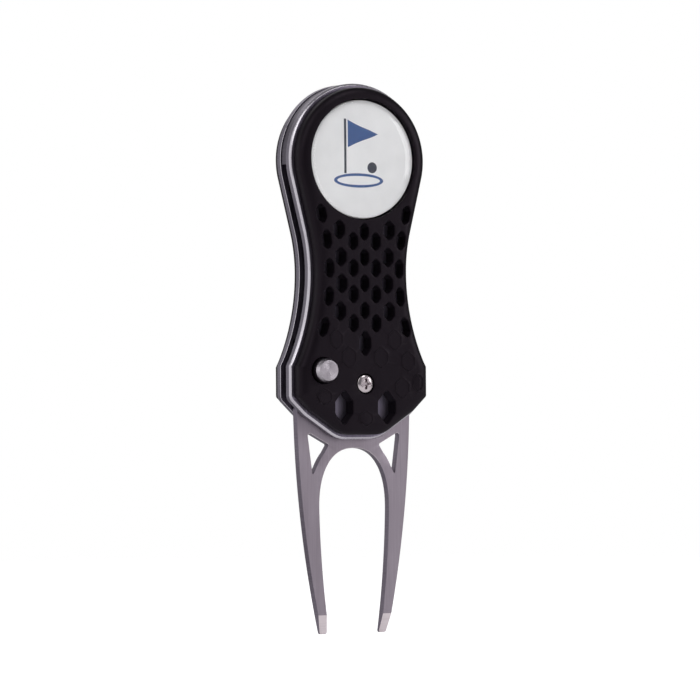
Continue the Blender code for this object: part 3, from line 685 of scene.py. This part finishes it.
def build_world():
    """White where the camera looks past the object, and a dim even grey everywhere else."""
    ambient = 0.17
    scene = bpy.context.scene
    scene.view_settings.view_transform = "Standard"
    world = bpy.data.worlds.new("studio")
    world.use_nodes = True
    scene.world = world
    tree = world.node_tree
    tree.nodes.clear()
    white = add(tree, "ShaderNodeBackground", Color=(1, 1, 1, 1), Strength=1.0)
    grey = add(tree, "ShaderNodeBackground", Color=(0.97, 0.96, 1.0, 1), Strength=ambient)
    path = add(tree, "ShaderNodeLightPath")
    mix = add(tree, "ShaderNodeMixShader")
    out = add(tree, "ShaderNodeOutputWorld")
    join(path.outputs["Is Camera Ray"], mix.inputs[0])
    join(grey.outputs[0], mix.inputs[1])
    join(white.outputs[0], mix.inputs[2])
    join(mix.outputs[0], out.inputs[0])


def softbox(name, azimuth, elevation, distance, size, power, colour=(1.0, 1.0, 1.0)):
    """An area light that faces the handle; azimuth 0 is in front of the tool and 90 on its right."""
    data = bpy.data.lights.new(name, "AREA")
    data.shape = "RECTANGLE"
    data.size, data.size_y = size
    data.energy = power
    data.color = colour
    light = bpy.data.objects.new(name, data)
    a, e = radians(azimuth), radians(elevation)
    towards = Vector((sin(a) * cos(e), -cos(a) * cos(e), sin(e)))
    light.location = world_point(0.0, 0.0, 5 * MM) + towards * distance
    light.rotation_euler = (-towards).to_track_quat("-Z", "Y").to_euler()
    bpy.context.scene.collection.objects.link(light)


def floor_white():
    """A pale look that fades out from its middle and glows towards the front and near the tips."""
    fade_start, fade_end = 0.12, 0.55
    front_glow, near_glow, camera_glow = 0.55, 0.12, 0.9
    look = bpy.data.materials.new("floor_white")
    look.use_nodes = True
    tree = look.node_tree
    tree.nodes.clear()
    place = add(tree, "ShaderNodeTexCoord")
    length = add(tree, "ShaderNodeVectorMath", operation="LENGTH")
    join(place.outputs["Object"], length.inputs[0])
    reach = length.outputs["Value"]
    fade = map_range(tree, reach, 0.0, 1.0, fade_start, fade_end, interpolation_type="SMOOTHSTEP")
    diffuse = add(tree, "ShaderNodeBsdfDiffuse", Color=(0.55, 0.55, 0.56, 1))
    path = add(tree, "ShaderNodeLightPath")
    sides = add(tree, "ShaderNodeSeparateXYZ")
    join(place.outputs["Object"], sides.inputs[0])
    front = map_range(tree, sides.outputs["Y"], front_glow, 0.06, -0.10, 0.06)
    near = map_range(tree, reach, near_glow, 0.0, 0.016, 0.05)
    both_glows = add(tree, "ShaderNodeMath", operation="ADD")
    join(front, both_glows.inputs[0])
    join(near, both_glows.inputs[1])
    strength = add(tree, "ShaderNodeMix", data_type="FLOAT")
    strength.inputs[FLOAT_B].default_value = camera_glow
    join(path.outputs["Is Camera Ray"], strength.inputs[0])
    join(both_glows.outputs["Value"], strength.inputs[FLOAT_A])
    glow = add(tree, "ShaderNodeEmission", Color=(1, 1, 1, 1))
    join(strength.outputs[0], glow.inputs["Strength"])
    both = add(tree, "ShaderNodeAddShader")
    clear = add(tree, "ShaderNodeBsdfTransparent")
    mix = add(tree, "ShaderNodeMixShader")
    out = add(tree, "ShaderNodeOutputMaterial")
    for i, adding in enumerate((diffuse, glow)):
        join(adding.outputs[0], both.inputs[i])
    for i, mixed in enumerate((fade, both.outputs[0], clear.outputs[0])):
        join(mixed, mix.inputs[i])
    join(mix.outputs[0], out.inputs[0])
    return look


def build_floor():
    """A round floor that meets the white world without an edge."""
    made = bmesh.new()
    bmesh.ops.create_circle(made, cap_ends=True, segments=96, radius=0.8)
    floor = thing_from(made, "floor", [floor_white()])


# Handle


def shoulder_depth(inset):
    """The grips' depth this far in from the liners' outline: a superellipse, and then flat."""
    power = 2.2
    t = np.clip((np.asarray(inset) - GRIP_INSET) / SHOULDER_WIDTH, 0.0, 1.0)
    return SHOULDER_START + (GRIP_FACE - SHOULDER_START) * (1 - (1 - t) ** power) ** (1 / power)


def grip_height(points):
    """The grips' depth at points on their face."""
    return shoulder_depth(distance_to(points, handle_outline(0.0)))


def resampled(loop, step):
    """Evenly spaced points along a loop."""
    ring = [Vector(p) for p in loop]
    points, carried = [], 0.0
    for a, b in zip(ring, ring[1:] + ring[:1]):
        length = (b - a).length
        while carried < length:
            points.append(tuple(a.lerp(b, carried / length)))
            carried += step
        carried -= length
    return points


def shoulder_points(features):
    """Free points on the shoulder, in rings, except in and close to its holes."""
    first, apart, step, margin = 1.7, 0.18, 0.6 * MM, 0.42 * MM
    rings = 11
    points = []
    for ring in range(rings):
        points += resampled(handle_outline(-(first + apart * ring) * MM), step)
    points = np.array(points)
    for shape, _, _ in features:
        points = points[~inside(points, shape(margin))]
    return points


def grip_edge():
    """Rings of the rim, outside the triangulated face, down to a small chamfer at the back."""
    chamfer = 0.12 * MM
    insets = [d * MM for d in (1.5, 1.35, 1.22, 1.11, 1.03, 0.98)]
    rings = [(-d, float(shoulder_depth(d))) for d in insets]
    rings.append((-GRIP_INSET, SHOULDER_START - 0.15 * MM))
    return rings + [(-GRIP_INSET, GRIP_INNER + chamfer), (-GRIP_INSET - chamfer, GRIP_INNER)]


def hole_rim(radius, steps=4):
    """Rings of the rounding at a hole's rim, which follow the face."""
    return [(-e, None, drop) for e, _, drop in round_over(radius, steps)]


def through_cell(cell, *shape):
    """A cell of the honeycomb, open at the back."""
    return (cell_loop(cell, *shape), hole_rim(CELL_RIM) + [(-0.06 * MM, GRIP_INNER)], True)


def blind_cell(cell, floor, *shape):
    """A cell with a floor."""
    rounding = [(-0.04 * MM, floor + 0.1 * MM), (-0.14 * MM, floor)]
    return (cell_loop(cell, *shape), hole_rim(CELL_RIM) + rounding, False)


def thread_holes():
    """Blind holes in a grip's back for its four screws."""
    radius, floor = 0.85 * MM, 4.7 * MM
    return [(circle(place, radius, 16), [(0.0, GRIP_INNER), (0.0, floor)]) for place in GRIP_SCREWS]


def pressed(cells):
    """Creases of shallow pressed cells: a raised lip round each and a lower middle."""
    creases = ((0.24 * MM, 0.0), (0.08 * MM, -0.06 * MM), (-0.16 * MM, 0.13 * MM))
    marks = []
    for cell in cells:
        shape = cell_loop(cell, 0.7 * MM)
        marks += [(shape(e), drop) for e, drop in creases]
    return marks


def build_front_grip(plastic):
    """With the marker's pocket, the pivot screw's well and the button's hole."""
    features = [through_cell(cell) for cell in both_sides(HONEYCOMB)]
    features += [through_cell(cell, *FOOT_CELL_SHAPE) for cell in both_sides(FOOT_CELLS)]
    pocket_radius = MARKER_RADIUS + 0.2 * MM
    magnet = MAGNET_RADIUS + GAP - pocket_radius
    rounding = 0.15 * MM
    pocket = [
        (0.0, MARKER_POCKET_FLOOR + rounding), (-rounding, MARKER_POCKET_FLOOR),
        (magnet, MARKER_POCKET_FLOOR), (magnet, GRIP_INNER),
    ]
    features.append((circle((0.0, MARKER_Z), pocket_radius, 128), hole_rim(RIM) + pocket, True))
    well_radius, seat, step = 2.15 * MM, 4.4 * MM, -0.55 * MM
    well = hole_rim(RIM) + [(0.0, seat), (step, seat), (step, GRIP_INNER)]
    features.append((circle((0.0, 0.0), well_radius, 64), well, True))
    button = hole_rim(0.25 * MM) + [(0.0, GRIP_INNER)]
    features.append((circle(BUTTON, BUTTON_RADIUS + 0.2 * MM, 64), button, True))
    made = plate(
        1, handle_outline, grip_edge(), features, GRIP_INNER, thread_holes(), height=grip_height,
        marks=pressed(PRESSED_CELLS), free=shoulder_points(features),
    )
    piece_from(made, "grip_front", "handle", [plastic], ["front_grip"])


def build_rear_grip(plastic):
    """With the sleeve's well, the spring's pocket and the plunger's blind hole."""
    cell_floor, plunger_floor = 4.95 * MM, 5.2 * MM
    features = [through_cell(cell) for cell in both_sides(HONEYCOMB)]
    features += [blind_cell(cell, cell_floor, *FOOT_CELL_SHAPE) for cell in both_sides(FOOT_CELLS)]
    well_radius, seat = 3.6 * MM, 4.75 * MM
    bore, pocket = SLEEVE_RADIUS + GAP - well_radius, SPRING_POCKET_RADIUS - well_radius
    well = hole_rim(RIM) + [
        (0.0, seat), (bore, seat),
        (bore, SPRING_POCKET_FLOOR), (pocket, SPRING_POCKET_FLOOR), (pocket, GRIP_INNER),
    ]
    features.append((circle((0.0, 0.0), well_radius, 64), well, True))
    plunger = (circle(BUTTON, COLLAR_RADIUS + GAP, 48), [(0.0, GRIP_INNER), (0.0, plunger_floor)])
    made = plate(
        -1, handle_outline, grip_edge(), features, GRIP_INNER, thread_holes() + [plunger],
        height=grip_height, free=shoulder_points(features),
    )
    piece_from(made, "grip_rear", "handle", [plastic], ["rear_grip"])


def build_liner(side, name, materials, holes):
    """One steel liner: brushed faces, a chamfer outside painted lighter as a highlight, and a small
    broken edge inside.
    """
    through = [(0.0, LINER_OUTER), (0.0, LINER_INNER)]
    pin_hole, screw_hole = 0.9 * MM, 1.0 * MM
    holes = holes + [(circle(pin[:2], pin_hole, 24), through, True) for pin in PINS.values()]
    head_seat, head_step = LINER_INNER + 0.9 * MM, 0.7 * MM
    screw = [(0.0, LINER_OUTER), (0.0, head_seat), (head_step, head_seat), (head_step, LINER_INNER)]
    holes += [(circle(place, screw_hole, 32), screw, True) for place in GRIP_SCREWS]
    chamfer_end = LINER_OUTER - OUTER_CHAMFER
    edge = [
        (-OUTER_CHAMFER - 0.05 * MM, LINER_OUTER),
        (-OUTER_CHAMFER + 0.02 * MM, LINER_OUTER - 0.03 * MM),
        (-0.03 * MM, chamfer_end + 0.02 * MM), (0.0, chamfer_end - 0.05 * MM),
        (0.0, LINER_INNER + 0.1 * MM), (-0.02 * MM, LINER_INNER + 0.04 * MM), (-0.07 * MM, LINER_INNER),
    ]
    made = plate(side, handle_outline, edge, holes, LINER_INNER)
    bmesh.ops.recalc_face_normals(made, faces=made.faces)
    # Faces sorted by how far they face the front: flat faces, the chamfer with its painted highlight,
    # and the sides
    flat, bevelled = 0.95, 0.3
    for face in made.faces:
        across = abs(face.normal.y)
        face.material_index = 0 if across > flat else (1 if across > bevelled else 2)
    piece_from(made, name + "_plate", "handle", materials, [name])


def build_liners(materials):
    """Both liners, each with a seat for a washer or ring, and holes for the button or its plunger."""
    seat = LINER_INNER + 0.4 * MM
    through = [(0.0, LINER_OUTER), (0.0, LINER_INNER)]

    def pivot_hole(radius, seat_radius):
        step = seat_radius - radius
        rings = [(0.0, LINER_OUTER), (0.0, seat), (step, seat), (step, LINER_INNER)]
        return (circle((0.0, 0.0), radius, 64), rings, True)

    magnet_pocket = [(0.0, LINER_OUTER), (0.0, MAGNET_POCKET_FLOOR)]
    build_liner(1, "front_liner", materials, [
        pivot_hole(SLEEVE_RADIUS + GAP, WASHER_HOLE_RADIUS),
        (circle(BUTTON, STEM_RADIUS + GAP, 48), through, True),
        (circle((0.0, MARKER_Z), MAGNET_RADIUS + GAP, 64), magnet_pocket, False),
    ])
    build_liner(-1, "rear_liner", materials, [
        pivot_hole(SPRING_POCKET_RADIUS, RING_HOLE_RADIUS),
        (circle(BUTTON, COLLAR_RADIUS + GAP, 48), through, True),
    ])


# Fork


def tang_radius(turn):
    """The tang's radius at an angle: round, with a scallop for the plunger's collar on each side."""
    scallop = COLLAR_RADIUS + 0.2 * MM
    reach = hypot(*BUTTON)
    for centre in (atan2(BUTTON[1], BUTTON[0]), atan2(-BUTTON[1], -BUTTON[0])):
        off = (turn - centre + pi) % (2 * pi) - pi
        if abs(reach * sin(off)) < scallop and cos(off) > 0:
            return min(TANG_RADIUS, reach * cos(off) - sqrt(scallop**2 - (reach * sin(off)) ** 2))
    return TANG_RADIUS


def arch_side(turn, offset=0.0):
    """A point on the arch between the prongs, or this far outside it.

    The arch is a superellipse, and turn runs from 0 at its top to 90 degrees.
    """
    height = ARCH_TOP_Z - ARCH_SIDE[1]
    power = 2 / 2.3
    x = ARCH_SIDE[0] * sin(radians(turn)) ** power
    z = ARCH_SIDE[1] + height * cos(radians(turn)) ** power
    across = sin(radians(turn)) ** (2 - power) / ARCH_SIDE[0]
    upright = cos(radians(turn)) ** (2 - power) / height
    length = hypot(across, upright)
    return (x + offset * across / length, z + offset * upright / length)


def bowed(start, end, bow, steps):
    """Points from start to end along a curve whose middle is moved by bow to the right."""
    points = []
    for i in range(steps + 1):
        t = i / steps
        x = start[0] + (end[0] - start[0]) * t + 4 * bow * t * (1 - t)
        points.append((x, start[1] + (end[1] - start[1]) * t))
    return points


def crossing(points, z):
    """The same line with a point added wherever it crosses this height."""
    made = [points[0]]
    for (x0, z0), (x1, z1) in zip(points, points[1:]):
        if (z0 - z) * (z1 - z) < 0:
            made.append((x0 + (x1 - x0) * (z - z0) / (z1 - z0), z))
        made.append((x1, z1))
    return made


def fork_half(side):
    """One side of the blade, as if on the right: from the tang's top down outside and up inside."""
    tang_steps, arch_steps = 108, 28
    root, ear, corner = 0.4 * MM, 0.3 * MM, 0.5 * MM
    meet = degrees(atan2(SHOULDER_Z, sqrt(TANG_RADIUS**2 - SHOULDER_Z**2)))
    half = [(0.0, TANG_RADIUS)]
    for i in range(1, tang_steps + 1):
        turn = radians(90 + (meet - 90) * i / tang_steps)
        radius = tang_radius(turn if side > 0 else pi - turn)
        half.append((radius * cos(turn), radius * sin(turn)))
    half += arc((EAR_INNER_X - root, SHOULDER_Z + root), root, -90, 0, steps=5)
    half += arc((EAR_INNER_X + ear, EAR_Z - ear), ear, 180, 90, steps=4)
    half += arc((SHOULDER_X - corner, EAR_Z - corner), corner, 90, 0, steps=5)
    tip = [(0.0, 0.35 * MM), (0.12 * MM, 0.1 * MM), (0.3 * MM, 0.0)]
    outer_tip = [(TIP_OUTER_X - across, up + TIP_Z) for across, up in tip]
    inner_tip = [(TIP_INNER_X + across, up + TIP_Z) for across, up in reversed(tip)]
    half += bowed((SHOULDER_X - 0.1 * MM, -8.2 * MM), outer_tip[0], 1.05 * MM, steps=36)
    half += outer_tip[1:] + inner_tip[:-1]
    half += bowed(inner_tip[-1], ARCH_SIDE, 0.42 * MM, steps=26)
    half += [arch_side(90 - 90 * i / arch_steps) for i in range(1, arch_steps)] + [(0.0, ARCH_TOP_Z)]
    return crossing(half, TIP_Z + TIP_GRIND)


def fork_outline():
    """Anticlockwise from the tang's top: down the left, up and down the arch, and up the right."""
    left = [(-x, z) for x, z in fork_half(-1)]
    return left[:-1] + fork_half(1)[:0:-1]


def offset_loop(points):
    """A loop function for any anticlockwise outline, good for small offsets."""
    def loop(e):
        count = len(points)
        return [
            tuple(moved_corner(points[i - 1], points[i], points[(i + 1) % count], e, 0.5))
            for i in range(count)
        ]
    return loop


def window(side):
    """The three-cornered window in the fork's root, whose inner side follows the arch."""
    rib = 2.15 * MM
    arch = [(*arch_side(turn, rib), 0.0) for turn in range(38, 55)]
    corners = [(11.3 * MM, -9.95 * MM, 0.5 * MM), (6.15 * MM, -12.7 * MM, 0.3 * MM)] + arch
    corners += [(10.05 * MM, -19.1 * MM, 0.14 * MM)]
    if side < 0:
        corners = [(-x, z, radius) for x, z, radius in reversed(corners)]
    return lambda e: filleted(corners, e)


def fork_height(points):
    """The front face's depth: flat, and falling away towards the ground tips."""
    fall, run = FORK_FACE + 0.25 * MM, TIP_GRIND + 0.2 * MM
    return FORK_FACE - np.clip(TIP_Z + TIP_GRIND - points[:, 1], 0.0, None) * (fall / run)


def build_fork(faces, sides, ground):
    """The two-prong blade: brushed faces, softly broken edges, and tips ground on the front."""
    lip = 0.1 * MM
    front_rim = hole_rim(lip, 3)
    down = [(0.0, lip - FORK_FACE), (lip * 0.7, lip * 0.3 - FORK_FACE), (lip, -FORK_FACE)]
    features = [(window(side), front_rim + down, True) for side in (1, -1)]
    pivot_hole = circle((0.0, 0.0), SLEEVE_RADIUS + 0.25 * MM, 64)
    features.append((pivot_hole, front_rim + [(0.0, -FORK_FACE)], True))
    leg_radius, leg_floor = 0.65 * MM, 0.4 * MM
    leg_hole = (circle(SPRING_LEG, leg_radius, 24), [(0.0, -FORK_FACE), (0.0, leg_floor)])
    edge = round_over(lip) + [(-e, depth) for e, depth in down]
    across = np.arange(7.05, 8.85, 0.15)
    grind_line = [(side * x * MM, TIP_Z + TIP_GRIND) for side in (1, -1) for x in across]
    outline = offset_loop(fork_outline())
    made = plate(1, outline, edge, features, -FORK_FACE, [leg_hole], fork_height, free=grind_line)
    bmesh.ops.recalc_face_normals(made, faces=made.faces)
    for face in made.faces:
        n = face.normal
        ground_front = n.z < -0.15 and n.y < -0.9
        face.material_index = 2 if ground_front else int(abs(n.y) < 0.8)
    piece_from(made, "fork_blade", "fork", [faces, sides, ground], ["fork"])


# Pivot and button


def revolve(profile, centre, segments=64):
    """A turned body about an axis along Y, from (radius, depth) pairs that start and end on it."""
    made = bmesh.new()
    rings = []
    for radius, depth in profile:
        ring = circle(centre, radius, segments)(0.0) if radius else [centre]
        rings.append([made.verts.new(world_point(x, depth, z)) for x, z in ring])
    for near, far in zip(rings, rings[1:]):
        for i in range(segments):
            j = (i + 1) % segments
            corners = [near[i % len(near)], near[j % len(near)], far[j % len(far)], far[i % len(far)]]
            made.faces.new(list(dict.fromkeys(corners)))
    return made


def softened(corners, radius=0.08 * MM, steps=3):
    """A (radius, depth) profile whose corners are rounded, except on the axis."""
    points = []
    for i, (r, depth) in enumerate(corners):
        if r == 0:
            points.append((r, depth))
            continue
        here = Vector((r, depth))
        back, on = Vector(corners[i - 1]) - here, Vector(corners[i + 1]) - here
        size = min(radius, back.length * 0.4, on.length * 0.4)
        start, end = here + back.normalized() * size, here + on.normalized() * size
        for k in range(steps + 1):
            t = k / steps
            points.append(tuple(start * (1 - t) ** 2 + here * 2 * t * (1 - t) + end * t**2))
    return points


def build_pivot_screw(look):
    """A pan-head screw with a tapered cross recess."""
    head, shank = 1.9 * MM, 1.2 * MM
    face, head_back, shank_end = 6.15 * MM, 4.7 * MM, -4.6 * MM
    crown, recess_floor = 0.4 * MM, 5.3 * MM
    long, wide, inner = 1.15 * MM, 0.25 * MM, 0.42 * MM
    arm = [(wide, long), (-wide, long), (-wide, inner), (-inner, wide)]
    cross = []
    for _ in range(4):
        cross += arm
        arm = [(-z, x) for x, z in arm]
    recess = (offset_loop(cross), hole_rim(0.05 * MM, 2) + [(-0.07 * MM, recess_floor)], False)

    def crowned(points):
        return face - crown * np.clip(np.linalg.norm(points, axis=1) / head, 0, 1) ** 3

    rim = circle((0.0, 0.0), head, 64)
    rounding = ((-0.12, 0.0), (-0.04, 0.05), (0.0, 0.14))
    edge = [(e * MM, None, drop * MM) for e, drop in rounding] + [(0.0, head_back)]
    turns = np.linspace(0, 2 * pi, 40, endpoint=False)
    spots = [(r * MM * cos(a), r * MM * sin(a)) for r in (1.32, 1.56) for a in turns]
    chamfer = 0.2 * MM
    shank_rings = [(0.0, head_back), (0.0, shank_end + chamfer), (-chamfer, shank_end)]
    shank_loop = (circle((0.0, 0.0), shank, 32), shank_rings)
    made = plate(1, rim, edge, [recess], head_back, [shank_loop], crowned, free=spots)
    piece_from(made, "pivot_screw_turned", "handle", [look], ["pivot_screw"])


def build_button(look):
    """The button's cap, hollow underneath for its plunger's stem."""
    underside = LINER_OUTER + BUTTON_TRAVEL + 0.25 * MM
    bore, bore_floor = STEM_RADIUS + 0.2 * MM, 7.2 * MM
    profile = [
        (0.0, BUTTON_FACE - 0.04 * MM), (0.35 * MM, BUTTON_FACE - 0.015 * MM), (1.4 * MM, BUTTON_FACE),
        (BUTTON_TOP_RADIUS, BUTTON_FACE), (BUTTON_RADIUS, BUTTON_FACE - BUTTON_TAPER),
        (BUTTON_RADIUS, underside), (bore, underside), (bore, bore_floor), (0.0, bore_floor),
    ]
    made = revolve(softened(profile, 0.07 * MM), BUTTON, 96)
    piece_from(made, "button_cap", "button", [look], ["release_button"])


# Ball marker


def pictogram():
    """A golf flag by a hole and a ball, in mm about the disc's centre.

    Each shape is (ink, loop), and an ink of -1 takes ink 1 away again.
    """
    left, right, low, high = -3.5, 3.9, 2.4, 8.2
    wave = [(left + (right - left) * t, up) for t, up in ((0.25, 0.85), (0.5, 1.55), (0.75, 2.15))]
    pennant = [(left, high), (left, low)] + [(x, low + up) for x, up in wave] + [(right, 5.3)]
    pennant += [(x, high - up) for x, up in reversed(wave)]
    pole = [(-4.4, -3.05), (-3.85, -3.05), (-3.85, 8.4), (-4.4, 8.4)]
    ring = [(1, ellipse(-0.9, -4.5, 6.0, 1.5)), (-1, ellipse(-0.9, -4.5, 5.2, 0.95))]
    return [(1, pennant), *ring, (2, pole), (2, ellipse(2.4, -1.75, 1.15, 1.15))]


def build_marker(steel, inks, resin):
    """The steel disc, its printed label and the clear dome over it."""
    centre = (0.0, MARKER_Z)
    chamfer = 0.2 * MM
    profile = [
        (0.0, MARKER_BACK), (MARKER_RADIUS - chamfer, MARKER_BACK),
        (MARKER_RADIUS, MARKER_BACK + chamfer), (MARKER_RADIUS, MARKER_DISC_FACE),
        (0.0, MARKER_DISC_FACE),
    ]
    made = revolve(softened(profile), centre, 128)
    piece_from(made, "marker_coin", "ball_marker", [steel], ["marker_disc"])

    apart = 0.12 * MM
    label, label_back = MARKER_RADIUS - 0.15 * MM, MARKER_DISC_FACE + apart
    label_face = label_back + apart
    shapes = [(ink, [(x * MM, z * MM + MARKER_Z) for x, z in loop]) for ink, loop in pictogram()]
    edge = [(0.0, label_face), (0.0, label_back)]
    marks = [(loop, 0.0) for _, loop in shapes]
    made = plate(1, circle(centre, label, 128), edge, [], label_back, marks=marks)
    for face in made.faces:
        middle = face.calc_center_median()
        spot = np.array([(middle.x - PIVOT.x, middle.z - PIVOT.z)])
        if PIVOT.y - middle.y > label_face - 0.01 * MM:
            face.material_index = sum(ink for ink, loop in shapes if inside(spot, loop)[0])
    piece_from(made, "marker_print", "ball_marker", inks, ["marker_label"])

    dome_back = label_face + apart
    low, reach, steps = dome_back + 0.06 * MM, 1.75 * MM, 32
    crown = [(label, dome_back), (label, low)]
    for k in range(1, steps + 1):
        inset = label * (k / steps) ** 1.8
        crown.append((label - inset, low + (MARKER_DOME_FACE - low) * (1 - exp(-inset / reach))))
    made = revolve([(0.0, dome_back)] + crown, centre, 128)
    dome = piece_from(made, "marker_resin", "ball_marker", [resin], ["marker_dome"])
    dome.visible_shadow = False


def build_pins(look):
    """Plain pins through the head's spacer, and shouldered pins that stop the fork."""
    shoulder = 0.95 * MM
    for name, (x, z, radius) in PINS.items():
        front = [(0.0, SPIGOT_END), (SPIGOT_RADIUS, SPIGOT_END)]
        if radius > SPIGOT_RADIUS:
            front += [(SPIGOT_RADIUS, shoulder), (radius, shoulder)]
        rear = [(r, -depth) for r, depth in reversed(front)]
        made = revolve(softened(front + rear, 0.1 * MM), (x, z), 40)
        piece_from(made, name + "_turned", "handle", [look], [name])


# Everything


def dress(looks):
    """Gives the CAD nodes that stay in view their finished materials."""
    for look, names in DRESSED_NODES.items():
        for name in names:
            for slot in frame["nodes"][name].material_slots:
                slot.material = looks[look]


def main():
    build_camera()
    build_world()
    for name, values in SOFTBOXES.items():
        softbox(name, *values)
    build_floor()
    looks = {name: brushed_metal(name, *values) for name, values in BRUSHED_METALS.items()}
    looks.update({name: turned_metal(name, *values) for name, values in TURNED_METALS.items()})
    plastic = satin_plastic("grip_plastic_moulded")
    build_front_grip(plastic)
    build_rear_grip(plastic)
    # The liners' second material is the chamfer's painted highlight
    build_liners([looks[f"liner_steel_{part}"] for part in ("brushed", "chamfer_painted_highlight", "side")])
    build_fork(*[looks[f"fork_steel_{part}"] for part in ("brushed", "side", "ground")])
    build_pivot_screw(looks["bright_steel_turned"])
    build_button(looks["button_steel_turned"])
    blue = ink("ink_blue", (0.010, 0.075, 0.27))
    dark = ink("ink_dark", (0.008, 0.014, 0.035))
    inks = [printed_white("printed_white_film"), blue, dark]
    build_marker(looks["marker_steel_turned"], inks, clear_resin("clear_resin_cast"))
    build_pins(looks["bright_steel_turned"])
    dress(looks)


main()
